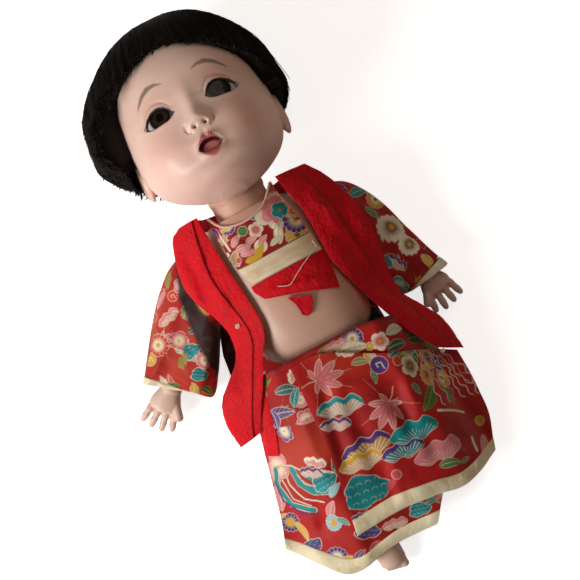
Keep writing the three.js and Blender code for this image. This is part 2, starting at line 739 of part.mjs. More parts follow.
const skirtTopShare = -0.42;
const lapShares = {
  placeShares: [-2, -1.85, -1.65, -1.4, -1.12, -0.85, -0.62, -0.46, -0.39],
  heightShares: [0.17, 0.24, 0.32, 0.42, 0.51, 0.545, 0.6, 0.67, 0.69],
  middleShare: 0.06,
  flatShare: 0.34,
  fallShare: 0.5,
  edgeShare: 0.05,
};
const lapHeight = through(lapShares.placeShares, lapShares.heightShares);

// The skirt's main folds: where each starts, where it ends, its spread and its height, in shares of the reach.
const foldShares = [
  [0.02, -0.5, 0.2, -1.75, 0.055, 1],
  [0.55, -0.62, 0.66, -1.6, 0.045, 1],
  [0.72, -0.75, 0.8, -1.5, 0.035, -0.8],
  [-0.2, -0.6, -0.34, -1.9, 0.05, 0.8],
  [-0.48, -0.6, -0.62, -1.7, 0.045, 1],
  [0.3, -0.55, 0.44, -1.7, 0.05, -0.8],
];

function folds(x, y) {
  let sum = 0;
  for (const [ax, ay, bx, by, spread, height] of foldShares) {
    const [dx, dy] = [bx - ax, by - ay];
    const [px, py] = [x / reach - ax, y / reach - ay];
    const size = Math.hypot(dx, dy);
    const away = (px * dy - py * dx) / size;
    const along = clamp01((px * dx + py * dy) / size ** 2);
    sum += height * bump(away / spread, 0) * (0.35 + 0.65 * along);
  }
  return sum * foldHeight;
}

function lap(x, y) {
  const { middleShare: middle, flatShare: flat, fallShare: fall, edgeShare: edge } = lapShares;
  const away = Math.abs(x / reach - middle);
  const drop = smooth((away - flat) / fall);
  const high = lapHeight(y / reach);
  const hem = edge + 0.04 * (1 + Math.sin(y / reach * 9));
  return (high + (Math.min(hem, high) - high) * drop) * reach + folds(x, y);
}

const skirtShares = {
  under: {
    left: [[-0.49, -0.42], [-0.56, -0.66], [-0.63, -0.9], [-0.69, -1.16], [-0.75, -1.4], [-0.82, -1.6]],
    right: [[0.6, -0.46], [0.66, -0.75], [0.62, -1.05], [0.52, -1.35], [0.36, -1.65], [0.2, -1.88]],
    top: [[-0.49, -0.42], [-0.2, -0.405], [0.08, -0.405], [0.35, -0.405], [0.6, -0.46]],
    foot: [[-0.82, -1.6], [-0.64, -1.79], [-0.46, -1.94], [-0.12, -1.88], [0.2, -1.88]],
  },
  over: {
    left: [[-0.2, -0.45], [-0.21, -0.74], [-0.225, -1.05], [-0.26, -1.33], [-0.32, -1.69]],
    right: [[0.88, -0.9], [0.885, -1.05], [0.88, -1.22], [0.87, -1.4], [0.8, -1.64]],
    top: [[-0.2, -0.45], [0.02, -0.455], [0.34, -0.62], [0.62, -0.75], [0.88, -0.9]],
    foot: [[-0.32, -1.69], [0.02, -1.66], [0.28, -1.68], [0.5, -1.72], [0.8, -1.64]],
  },
  back: {
    left: [[-0.5, -0.489], [-0.6, -0.8], [-0.68, -1.1], [-0.74, -1.4], [-0.76, -1.62]],
    right: [[0.55, -0.489], [0.76, -0.8], [0.84, -1.1], [0.83, -1.4], [0.76, -1.6]],
    top: [[-0.5, -0.489], [0, -0.489], [0.55, -0.489]],
    foot: [[-0.76, -1.62], [-0.35, -1.78], [0, -1.7], [0.35, -1.65], [0.76, -1.6]],
  },
};
const skirtPatch = (name) => {
  const { left, right, top, foot } = skirtShares[name];
  return patch(outline(left), outline(right), outline(top), outline(foot));
};

function makeSkirt() {
  const limbs = ["torso", "thigh_right", "thigh_left", "leg_binding_right", "leg_binding_left"];
  limbs.push("lower_leg_right", "lower_leg_left");
  const under = skirtPatch("under");
  const over = skirtPatch("over");
  const back = skirtPatch("back");
  const lift = lifted((x, y) => (y < skirtTopShare * reach + hemDepth ? lap(x, y) : reach), limbs, seatGap * 0.7);
  const underneath = (x, y) => lap(x, y) + lift;
  const above = (x, y) => lap(x, y) + lift + silk * 1.6;
  const step = hemDepth / reach / 1.2;
  const joint = seatGap / reach;
  laid("skirt_under", [15, 12], under, underneath, silk, finish.printedSilk, [0, 1 - step]);
  laid("hem_under", [15, 2], under, underneath, silk, finish.creamSilk, [1 - step + joint, 1]);
  laid("skirt_over", [18, 13], over, above, silk, finish.printedSilk, [0, 1 - step]);
  laid("hem_over", [18, 2], over, above, silk, finish.creamSilk, [1 - step + joint, 1]);
  const flat = () => 0;
  laid("skirt_back", [8, 8], back, flat, silk, finish.printedSilk, [0, 1 - step]);
  laid("hem_back", [8, 2], back, flat, silk, finish.creamSilk, [1 - step + joint, 1]);
}

// Kimono back, flat beneath the doll from the nape to the hips.
const kimonoBackShares = [
  [-0.28, 0.68], [0.3, 0.68], [0.5, 0.62], [0.56, 0.4], [0.5, 0.1], [0.52, -0.25], [0.54, -0.485],
  [-0.49, -0.485], [-0.46, -0.2], [-0.44, 0.1], [-0.5, 0.4], [-0.46, 0.62],
];

function makeKimonoBack() {
  const shape = new THREE.Shape(kimonoBackShares.map(([x, y]) => new THREE.Vector2(x * reach, y * reach)));
  const cloth = new THREE.ExtrudeGeometry(shape, { depth: backSilk, bevelEnabled: false });
  piece("kimono_back", cloth, finish.printedSilk);
}

// Sleeves: an outer and an inner edge along the arm, and the heights of their undersides and tops.
const sleeveShares = {
  right: {
    outer: [[-0.5, 0.57], [-0.66, 0.5], [-0.82, 0.36], [-0.97, 0.18], [-1.1, 0], [-1.175, -0.11]],
    inner: [[-0.42, 0.2], [-0.49, 0.03], [-0.57, -0.13], [-0.67, -0.3], [-0.77, -0.42], [-0.86, -0.34]],
  },
  left: {
    outer: [[0.56, 0.56], [0.72, 0.48], [0.86, 0.28], [0.95, 0.04], [1.03, -0.17], [1.1, -0.33]],
    inner: [[0.46, 0.18], [0.515, 0.01], [0.57, -0.14], [0.63, -0.27], [0.7, -0.38], [0.77, -0.39]],
  },
  under: [0.06, 0.03, 0.004, 0.003, 0.003, 0.003],
  over: [0.445, 0.43, 0.375, 0.325, 0.29, 0.265],
};
const sleeveStepShares = [0, 0.2, 0.4, 0.6, 0.8, 1];
const rimShare = 0.04;

function tube(name, rings, sides, [from, to], inset, thick) {
  const { outer, inner } = sleeveShares[name];
  const [out, into] = [outline(outer), outline(inner)];
  const under = through(sleeveStepShares, sleeveShares.under);
  const over = through(sleeveStepShares, sleeveShares.over);
  const loop = (t, shrink) => {
    const [a, b] = [new THREE.Vector2(...out(t)), new THREE.Vector2(...into(t))];
    const half = b.clone().sub(a).multiplyScalar(0.5);
    const middle = a.clone().add(half);
    const wide = half.length() - shrink;
    half.normalize();
    const low = under(t) * reach + shrink;
    const high = over(t) * reach - shrink;
    return Array.from({ length: sides }, (_, k) => {
      const [across, up] = rounded((2 * Math.PI * k) / sides, wide, (high - low) / 2, 3);
      const spot = middle.clone().addScaledVector(half, across);
      return new THREE.Vector3(spot.x, spot.y, (low + high) / 2 + up);
    });
  };
  const places = Array.from({ length: rings + 1 }, (_, i) => from + ((to - from) * i) / rings);
  const skin = places.map((t) => loop(t, inset));
  const rim = (to - from) * rimShare;
  const inside = places.map((t) => Math.min(Math.max(t, from + rim), to - rim));
  const lining = inside.reverse().map((t) => loop(t, inset + thick));
  return loft([...skin, ...lining], true);
}

function makeSleeve(name) {
  const { elbow, wrist } = armPlaces(name);
  const length = elbow.distanceTo(wrist) * 2;
  const cuff = 1 - sleeveCuff / length;
  piece(`sleeve_${name}`, tube(name, 9, 20, [0.1, cuff], 0, silk), finish.printedSilk);
  piece(`cuff_${name}`, tube(name, 1, 20, [cuff + (5 * seatGap) / length, 1], 0, silk), finish.creamSilk);
}

// Bib on the chest, its cream band, and the crepe strap across it.
const chestShares = {
  bib: {
    left: [[-0.25, 0.67], [-0.245, 0.56], [-0.235, 0.42], [-0.215, 0.27]],
    right: [[0.24, 0.7], [0.26, 0.56], [0.29, 0.42], [0.32, 0.285]],
    top: [[-0.25, 0.67], [-0.17, 0.56], [-0.03, 0.53], [0.12, 0.57], [0.24, 0.7]],
    foot: [[-0.215, 0.27], [-0.08, 0.27], [0.06, 0.275], [0.2, 0.28], [0.32, 0.285]],
  },
  bib_band: {
    left: [[-0.212, 0.264], [-0.19, 0.2], [-0.17, 0.14]],
    right: [[0.322, 0.279], [0.33, 0.21], [0.34, 0.145]],
    top: [[-0.212, 0.264], [0.06, 0.269], [0.322, 0.279]],
    foot: [[-0.17, 0.14], [0.06, 0.145], [0.34, 0.145]],
  },
  waist_strap: {
    left: [[-0.19, 0.13], [-0.18, 0.08], [-0.14, 0.02]],
    right: [[0.345, 0.138], [0.35, 0.02], [0.33, -0.13]],
    top: [[-0.19, 0.13], [0.06, 0.138], [0.345, 0.138]],
    foot: [[-0.14, 0.02], [0.1, -0.05], [0.33, -0.13]],
  },
  strap_end: {
    left: [[-0.01, -0.035], [0.02, -0.1], [0.03, -0.18]],
    right: [[0.14, -0.09], [0.125, -0.14], [0.08, -0.2]],
    top: [[-0.01, -0.035], [0.06, -0.06], [0.14, -0.09]],
    foot: [[0.03, -0.18], [0.055, -0.2], [0.08, -0.2]],
  },
};

function makeChest() {
  const onTorso = (x, y) => torsoFront(x, Math.min(y, torsoTopY)) + seatGap;
  const overCurve = (x, y) => onTorso(x, y) + seatGap * 1.5;
  const lay = (name, cells, thick, material, over = onTorso) => {
    const { left, right, top, foot } = chestShares[name];
    laid(name, cells, patch(outline(left), outline(right), outline(top), outline(foot)), over, thick, material);
  };
  lay("bib", [12, 7], silk, finish.printedSilk, overCurve);
  lay("bib_band", [10, 2], silk, finish.creamSilk);
  lay("waist_strap", [10, 3], crepe, finish.redCrepe);
  lay("strap_end", [3, 3], silk, finish.redCrepe);
}

// The crepe collar: inner and outer edges with their heights, from the shoulder to the tails.
const collarShares = {
  right: {
    inner: [
      [-0.3, 0.7, 0.56], [-0.29, 0.54, 0.61], [-0.27, 0.32, 0.62], [-0.245, 0.1, 0.62], [-0.235, -0.14, 0.625],
      [-0.33, -0.32, 0.61], [-0.4, -0.46, 0.63], [-0.5, -0.62, 0.46], [-0.58, -0.77, 0.31],
    ],
    outer: [
      [-0.45, 0.7, 0.44], [-0.53, 0.62, 0.45], [-0.61, 0.32, 0.45], [-0.6, 0.08, 0.42], [-0.575, -0.11, 0.36],
      [-0.64, -0.3, 0.34], [-0.69, -0.47, 0.31], [-0.73, -0.66, 0.25], [-0.75, -0.81, 0.19],
    ],
  },
  left: {
    inner: [
      [0.28, 0.71, 0.56], [0.3, 0.6, 0.6], [0.34, 0.44, 0.61], [0.355, 0.24, 0.61], [0.36, 0.06, 0.61],
      [0.42, -0.14, 0.58], [0.5, -0.31, 0.575], [0.61, -0.5, 0.522], [0.72, -0.68, 0.365],
    ],
    outer: [
      [0.5, 0.71, 0.44], [0.59, 0.58, 0.45], [0.68, 0.36, 0.455], [0.71, 0.14, 0.44], [0.7, -0.05, 0.4],
      [0.69, -0.32, 0.33], [0.79, -0.5, 0.29], [0.88, -0.66, 0.24], [0.92, -0.9, 0.17],
    ],
  },
};

function makeCollar(name) {
  const [inner, outer] = [outline(collarShares[name].inner), outline(collarShares[name].outer)];
  const across = 5;
  const rows = 18;
  const at = (u, v, lift) => {
    const [a, b] = [inner(v), outer(v)];
    const [x, y, z] = a.map((value, i) => value + (b[i] - value) * u);
    return new THREE.Vector3(x, y, z + lift + collarRoll * Math.sin(Math.PI * u));
  };
  const beneath = ["torso", "bib", "bib_band", "waist_strap", "skirt_under", "skirt_over"];
  const rest = seated(at, across, rows, [...beneath, `sleeve_${name}`], collarSeat[name]);
  const place = (u, v) => at(u, v, rest + crepe);
  const below = (u, v) => at(u, v, rest);
  piece(`collar_${name}`, sheet(across, rows, place, below), finish.redCrepe);
}

// The collar behind the neck: a standing strip round the nape from one shoulder to the other.
const napeRadius = neckRadius + 9;
const napeTopY = 69;

function makeNape() {
  const around = (u, radius, y) => {
    const angle = Math.PI * (0.97 + 1.06 * u);
    return new THREE.Vector3(Math.cos(angle) * radius, y, neckAxisZ + Math.sin(angle) * radius);
  };
  const high = (v) => torsoTopY + seatGap + (napeTopY - torsoTopY - seatGap) * v;
  const place = (u, v) => around(u, napeRadius + crepe, high(v));
  const below = (u, v) => around(u, napeRadius, high(v));
  piece("collar_nape", sheet(16, 1, place, below), finish.redCrepe);
}

makeHead();
makeHair();
makeTorso();
makeArm("right");
makeArm("left");
makeLeg("right");
makeLeg("left");
makeKimonoBack();
makeSleeve("right");
makeSleeve("left");
makeChest();
makeSkirt();
makeCollar("right");
makeCollar("left");
makeNape();

export default doll;
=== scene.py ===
import json
import math
import bpy
import numpy as np
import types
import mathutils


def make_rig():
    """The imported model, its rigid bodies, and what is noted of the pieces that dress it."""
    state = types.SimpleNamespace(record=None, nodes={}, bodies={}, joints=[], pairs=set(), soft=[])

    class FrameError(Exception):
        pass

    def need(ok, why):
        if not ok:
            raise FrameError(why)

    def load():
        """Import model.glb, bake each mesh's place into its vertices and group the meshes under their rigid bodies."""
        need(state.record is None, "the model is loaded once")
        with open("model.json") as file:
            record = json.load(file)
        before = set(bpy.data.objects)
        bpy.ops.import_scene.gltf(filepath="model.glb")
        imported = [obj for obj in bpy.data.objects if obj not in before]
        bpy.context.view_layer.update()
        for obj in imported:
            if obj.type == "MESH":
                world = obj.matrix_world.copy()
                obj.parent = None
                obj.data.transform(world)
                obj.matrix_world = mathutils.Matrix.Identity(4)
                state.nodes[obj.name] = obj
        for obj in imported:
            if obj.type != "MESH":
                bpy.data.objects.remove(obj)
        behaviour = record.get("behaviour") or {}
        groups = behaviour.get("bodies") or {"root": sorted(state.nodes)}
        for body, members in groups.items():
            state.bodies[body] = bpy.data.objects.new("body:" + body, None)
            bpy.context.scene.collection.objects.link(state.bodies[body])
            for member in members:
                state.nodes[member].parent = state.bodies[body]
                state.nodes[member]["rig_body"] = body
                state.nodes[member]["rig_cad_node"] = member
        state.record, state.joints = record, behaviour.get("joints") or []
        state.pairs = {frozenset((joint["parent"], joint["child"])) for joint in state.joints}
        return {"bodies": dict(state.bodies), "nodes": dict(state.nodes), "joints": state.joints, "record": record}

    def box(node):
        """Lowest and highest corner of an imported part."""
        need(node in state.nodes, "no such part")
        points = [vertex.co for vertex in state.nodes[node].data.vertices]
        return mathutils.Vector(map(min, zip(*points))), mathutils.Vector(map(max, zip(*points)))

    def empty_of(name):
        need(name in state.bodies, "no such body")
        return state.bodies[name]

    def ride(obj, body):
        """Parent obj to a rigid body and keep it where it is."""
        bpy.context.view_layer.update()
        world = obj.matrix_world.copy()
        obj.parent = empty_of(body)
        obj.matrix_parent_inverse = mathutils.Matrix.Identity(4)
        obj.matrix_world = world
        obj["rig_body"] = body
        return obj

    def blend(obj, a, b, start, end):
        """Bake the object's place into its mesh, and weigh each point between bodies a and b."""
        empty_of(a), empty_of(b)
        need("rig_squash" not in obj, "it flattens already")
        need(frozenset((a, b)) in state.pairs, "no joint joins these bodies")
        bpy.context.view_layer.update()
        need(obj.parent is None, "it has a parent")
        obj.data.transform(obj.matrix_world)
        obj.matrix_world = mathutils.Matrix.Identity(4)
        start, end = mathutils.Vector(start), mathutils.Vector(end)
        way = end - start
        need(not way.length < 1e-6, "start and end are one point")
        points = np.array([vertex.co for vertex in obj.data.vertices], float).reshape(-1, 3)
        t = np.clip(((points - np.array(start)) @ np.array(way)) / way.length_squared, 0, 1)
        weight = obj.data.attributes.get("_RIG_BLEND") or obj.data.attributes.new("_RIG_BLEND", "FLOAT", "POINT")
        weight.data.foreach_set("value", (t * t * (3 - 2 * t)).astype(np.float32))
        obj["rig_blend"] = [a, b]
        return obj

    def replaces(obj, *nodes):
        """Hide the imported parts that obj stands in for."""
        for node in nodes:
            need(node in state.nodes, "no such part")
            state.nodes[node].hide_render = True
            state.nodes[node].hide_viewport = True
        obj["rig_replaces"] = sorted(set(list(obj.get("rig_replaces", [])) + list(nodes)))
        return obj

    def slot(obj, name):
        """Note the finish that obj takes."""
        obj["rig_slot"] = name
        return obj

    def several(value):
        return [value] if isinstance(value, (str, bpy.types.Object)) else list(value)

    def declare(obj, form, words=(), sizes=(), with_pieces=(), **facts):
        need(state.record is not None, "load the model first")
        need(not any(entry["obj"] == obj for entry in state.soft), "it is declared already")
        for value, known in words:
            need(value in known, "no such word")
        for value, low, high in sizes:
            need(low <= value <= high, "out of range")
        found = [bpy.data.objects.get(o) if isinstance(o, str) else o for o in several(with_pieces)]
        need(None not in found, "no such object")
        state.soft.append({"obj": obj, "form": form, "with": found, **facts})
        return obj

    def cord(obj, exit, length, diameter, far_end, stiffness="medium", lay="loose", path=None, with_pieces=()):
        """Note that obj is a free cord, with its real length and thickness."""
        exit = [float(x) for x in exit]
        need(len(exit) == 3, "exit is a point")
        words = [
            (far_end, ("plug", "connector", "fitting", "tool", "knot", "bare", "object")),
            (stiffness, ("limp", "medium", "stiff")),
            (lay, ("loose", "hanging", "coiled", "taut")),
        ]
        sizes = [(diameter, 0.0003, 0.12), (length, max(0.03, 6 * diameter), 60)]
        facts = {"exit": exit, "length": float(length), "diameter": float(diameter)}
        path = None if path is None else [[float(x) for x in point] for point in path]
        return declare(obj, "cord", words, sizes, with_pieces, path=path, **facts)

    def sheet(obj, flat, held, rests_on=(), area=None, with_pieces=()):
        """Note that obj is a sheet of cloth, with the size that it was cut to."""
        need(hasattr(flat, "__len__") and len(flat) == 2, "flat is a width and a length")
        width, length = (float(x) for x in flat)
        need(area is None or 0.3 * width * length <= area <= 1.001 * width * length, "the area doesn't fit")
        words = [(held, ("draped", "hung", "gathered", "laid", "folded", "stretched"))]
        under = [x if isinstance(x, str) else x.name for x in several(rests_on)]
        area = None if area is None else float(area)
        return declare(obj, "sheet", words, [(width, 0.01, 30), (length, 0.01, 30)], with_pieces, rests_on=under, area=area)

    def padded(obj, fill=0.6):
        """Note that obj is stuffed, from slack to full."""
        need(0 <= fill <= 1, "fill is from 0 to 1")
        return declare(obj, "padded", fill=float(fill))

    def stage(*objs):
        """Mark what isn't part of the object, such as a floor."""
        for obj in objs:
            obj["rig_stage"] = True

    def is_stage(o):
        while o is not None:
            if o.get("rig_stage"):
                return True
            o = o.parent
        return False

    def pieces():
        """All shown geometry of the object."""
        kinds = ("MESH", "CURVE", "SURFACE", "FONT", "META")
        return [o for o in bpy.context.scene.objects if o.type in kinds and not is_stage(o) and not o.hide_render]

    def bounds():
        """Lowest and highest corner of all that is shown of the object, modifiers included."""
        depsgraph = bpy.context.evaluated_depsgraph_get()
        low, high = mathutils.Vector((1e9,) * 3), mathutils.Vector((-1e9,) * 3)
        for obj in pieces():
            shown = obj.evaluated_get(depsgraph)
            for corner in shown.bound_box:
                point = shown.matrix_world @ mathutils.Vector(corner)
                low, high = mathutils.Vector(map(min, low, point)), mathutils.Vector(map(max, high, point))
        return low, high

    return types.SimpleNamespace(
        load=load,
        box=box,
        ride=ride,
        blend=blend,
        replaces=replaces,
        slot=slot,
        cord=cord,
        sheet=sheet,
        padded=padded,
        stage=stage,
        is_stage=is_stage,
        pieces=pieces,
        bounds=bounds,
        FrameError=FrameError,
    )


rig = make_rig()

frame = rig.load()
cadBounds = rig.bounds()
rng = np.random.default_rng(7)
mm = 0.001  # shapes below are worked out in millimetres
print("frame loaded")


# small tools for points, faces and paint

# smoothstep: 3t^2 - 2t^3 of t held between 0 and 1
def ease(t):
    t = np.clip(t, 0, 1)
    return t * t * (3 - 2 * t)


# bell: e to the power of minus half the squared distance
def bell(*parts):
    return np.exp(-sum(np.square(part) for part in parts) / 2)


# cubic through given points; each slope comes from the two neighbours, flat beyond the ends
def through(xs, ys, x):
    xs, ys = np.asarray(xs, float), np.asarray(ys, float)
    ahead = np.minimum(np.arange(len(xs)) + 1, len(xs) - 1)
    behind = np.maximum(np.arange(len(xs)) - 1, 0)
    slope = (ys[ahead] - ys[behind]) / (xs[ahead] - xs[behind])
    held = np.clip(x, xs[0], xs[-1])
    i = np.clip(np.searchsorted(xs, held, side="left") - 1, 0, len(xs) - 2)
    step = xs[i + 1] - xs[i]
    t = (held - xs[i]) / step
    rise = ys[i + 1] - ys[i]
    near, far = slope[i] * step - rise, rise - slope[i + 1] * step
    return ys[i] + rise * t + t * (1 - t) * (near * (1 - t) + far * t)


# places 0..1 packed where density is high: the inverse of its running sum
def packed(count, low, high, density):
    fine = np.linspace(low, high, 4000)
    total = np.concatenate([[0], np.cumsum(density((fine[1:] + fine[:-1]) / 2))])
    return np.interp(np.linspace(0, total[-1], count), total, fine)


# superellipse: width and depth times the 2/power root of cosine and sine
def rounded(angle, width, depth, power):
    c, s = np.cos(angle), np.sin(angle)
    return (width * np.sign(c) * np.abs(c) ** (2 / power),
            depth * np.sign(s) * np.abs(s) ** (2 / power))


# colour written as a picture shows it, turned into the linear value that light uses
def colour(text):
    part = np.array([int(text[i:i + 2], 16) for i in (0, 2, 4)]) / 255
    return np.where(part <= 0.04045, part / 12.92, ((part + 0.055) / 1.055) ** 2.4)


# one colour over another: the lower plus the difference times the share
def mix(under, over, share):
    return under + (np.asarray(over) - under) * np.asarray(share)[..., None]


# smooth value noise: hashed corners of unit cells, eased between, three octaves; 0 to 1
def cloudy(x, y, size, seed=0):
    total, weight = 0, 0
    for octave in range(3):
        px, py = x / size * 2 ** octave + seed * 17.3, y / size * 2 ** octave + seed * 5.1
        ix, iy = np.floor(px), np.floor(py)
        fx, fy = ease(px - ix), ease(py - iy)
        turn = lambda a, b: (ix + a) * 127.1 + (iy + b) * 311.7 + seed
        corner = lambda a, b: np.modf(np.abs(np.sin(turn(a, b)) * 43758.5453))[0]
        low, high = (corner(0, row) * (1 - fx) + corner(1, row) * fx for row in (0, 1))
        value = low * (1 - fy) + high * fy
        total, weight = total + value / 2 ** octave, weight + 1 / 2 ** octave
    return total / weight


# distance from points to a line of points, less its half width there
def strokeGap(x, y, line, widths):
    line = np.asarray(line, float)
    widths = np.broadcast_to(widths, len(line))
    best = np.full(np.shape(x), 1e9)
    for i in range(len(line) - 1):
        (ax, ay), (bx, by) = line[i], line[i + 1]
        dx, dy = bx - ax, by - ay
        t = np.clip(((x - ax) * dx + (y - ay) * dy) / (dx * dx + dy * dy), 0, 1)
        gap = np.hypot(x - ax - t * dx, y - ay - t * dy) - (widths[i] * (1 - t) + widths[i + 1] * t)
        best = np.minimum(best, gap)
    return best


# faces of rows by columns, going round when wrapped
def gridFaces(rows, cols, wrapped=False):
    i, j = np.arange(rows - 1)[:, None], np.arange(cols if wrapped else cols - 1)[None, :]
    right = (j + 1) % cols
    return np.stack([i * cols + j, i * cols + right, (i + 1) * cols + right, (i + 1) * cols + j],
                    -1).reshape(-1, 4)


# a mesh object from points in millimetres; the faces are turned round if the volume comes out negative
def makePiece(name, points, quads=None, triangles=None, material=None, paint=None):
    points = np.asarray(points, float).reshape(-1, 3)
    quads = np.zeros((0, 4), int) if quads is None else np.asarray(quads)
    triangles = np.zeros((0, 3), int) if triangles is None else np.asarray(triangles)
    halves = np.concatenate([quads[:, :3], quads[:, [0, 2, 3]], triangles])
    a, b, c = (points[halves[:, k]] for k in range(3))
    if np.sum(a * np.cross(b, c)) < 0:
        quads, triangles = quads[:, ::-1], triangles[:, ::-1]
    corners = np.concatenate([quads.ravel(), triangles.ravel()]).astype(np.int32)
    sizes = np.concatenate([np.full(len(quads), 4), np.full(len(triangles), 3)])
    mesh = bpy.data.meshes.new(name)
    mesh.vertices.add(len(points))
    mesh.vertices.foreach_set("co", (points * mm).ravel().astype(np.float32))
    mesh.loops.add(len(corners))
    mesh.loops.foreach_set("vertex_index", corners)
    mesh.polygons.add(len(sizes))
    mesh.polygons.foreach_set("loop_start", np.concatenate([[0], np.cumsum(sizes)[:-1]]).astype(np.int32))
    mesh.update(calc_edges=True)
    mesh.validate()
    mesh.shade_smooth()
    if paint is not None:
        layer = mesh.color_attributes.new("paint", "FLOAT_COLOR", "POINT")
        full = np.ones((len(points), 4), np.float32)
        full[:, :3] = np.clip(np.asarray(paint).reshape(-1, 3), 0, 1)
        layer.data.foreach_set("color", full.ravel())
    piece = bpy.data.objects.new(name, mesh)
    bpy.context.scene.collection.objects.link(piece)
    if material is not None:
        mesh.materials.append(material)
    return piece


# closed skin over rings, each end drawn in to one point
def skinFaces(rows, cols):
    quads = gridFaces(rows, cols, True)
    j = np.arange(cols)
    first, last = rows * cols, rows * cols + 1
    low = np.stack([np.full(cols, first), (j + 1) % cols, j], -1)
    top = (rows - 1) * cols
    high = np.stack([np.full(cols, last), top + j, top + (j + 1) % cols], -1)
    return quads, np.concatenate([low, high])


# closed skin: rings joined one to the next, with a fan to one point at each end
def skinPiece(name, rings, ends, material, paint=None):
    rows, cols = rings.shape[:2]
    quads, triangles = skinFaces(rows, cols)
    points = np.concatenate([rings.reshape(-1, 3), np.asarray(ends, float)])
    return makePiece(name, points, quads, triangles, material, paint)


# closed cloth: a fine face, a coarse underside at every step-th point, and fans of triangles round the edge
def clothPiece(name, top, under, step, material, paint):
    rows, cols = top.shape[:2]
    low = under[::step, ::step]
    lowRows, lowCols = low.shape[:2]
    base = rows * cols
    quads = np.concatenate([gridFaces(rows, cols), (gridFaces(lowRows, lowCols) + base)[:, ::-1]])
    fans = []
    edges = [(np.arange(cols), base + np.arange(lowCols), 1),
             ((rows - 1) * cols + np.arange(cols), base + (lowRows - 1) * lowCols + np.arange(lowCols), -1),
             (np.arange(rows) * cols, base + np.arange(lowRows) * lowCols, -1),
             (np.arange(rows) * cols + cols - 1, base + np.arange(lowRows) * lowCols + lowCols - 1, 1)]
    for fine, coarse, sign in edges:
        i = np.arange(len(fine) - 1)
        near = coarse[(i + step // 2) // step]
        m = np.arange(len(coarse) - 1)
        made = np.concatenate([np.stack([fine[i + 1], fine[i], near], -1),
                               np.stack([coarse[m], coarse[m + 1], fine[m * step + step // 2]], -1)])
        fans.append(made if sign > 0 else made[:, ::-1])
    points = np.concatenate([top.reshape(-1, 3), low.reshape(-1, 3)])
    paint = np.asarray(paint).reshape(rows, cols, 3)
    both = np.concatenate([paint.reshape(-1, 3), paint[::step, ::step].reshape(-1, 3)])
    return makePiece(name, points, quads, np.concatenate(fans), material, both)


# round strands along many paths at once: a ring of sides at each path point, the ends drawn to points
def strandPiece(name, paths, radii, sides, material, paint=None):
    count, steps = paths.shape[:2]
    ahead = np.gradient(paths, axis=1)
    ahead /= np.linalg.norm(ahead, axis=2, keepdims=True) + 1e-9
    helper = np.where(np.abs(ahead[..., 2:3]) > 0.9, np.array([1.0, 0, 0]), np.array([0, 0, 1.0]))
    across = np.cross(ahead, helper)
    across /= np.linalg.norm(across, axis=2, keepdims=True)
    upward = np.cross(across, ahead)
    turn = 2 * np.pi * np.arange(sides) / sides
    ring = across[:, :, None] * np.cos(turn)[:, None] + upward[:, :, None] * np.sin(turn)[:, None]
    rings = paths[:, :, None] + ring * radii[..., None, None]
    tips = np.stack([paths[:, 0] - ahead[:, 0] * radii[:, :1] * 0.6,
                     paths[:, -1] + ahead[:, -1] * radii[:, -1:] * 0.6], 1)
    quads, triangles = skinFaces(steps, sides)
    size = steps * sides + 2
    shift = (np.arange(count) * size)[:, None, None]
    points = np.concatenate([rings.reshape(count, -1, 3), tips], 1)
    if paint is not None:
        paint = np.repeat(np.asarray(paint)[:, None], size, 1)
    return makePiece(name, points, (quads + shift).reshape(-1, 4), (triangles + shift).reshape(-1, 3),
                     material, paint)


# stage, lamps and camera

# a new material with its nodes, links and surface node
def softMaterial(name):
    material = bpy.data.materials.new(name)
    material.use_nodes = True
    tree = material.node_tree
    return material, tree.nodes, tree.links, tree.nodes["Principled BSDF"]


stageSettings = {"floorSize": 6.0, "room": (0.1, 0.076, 0.06), "floorGlow": 0.74}


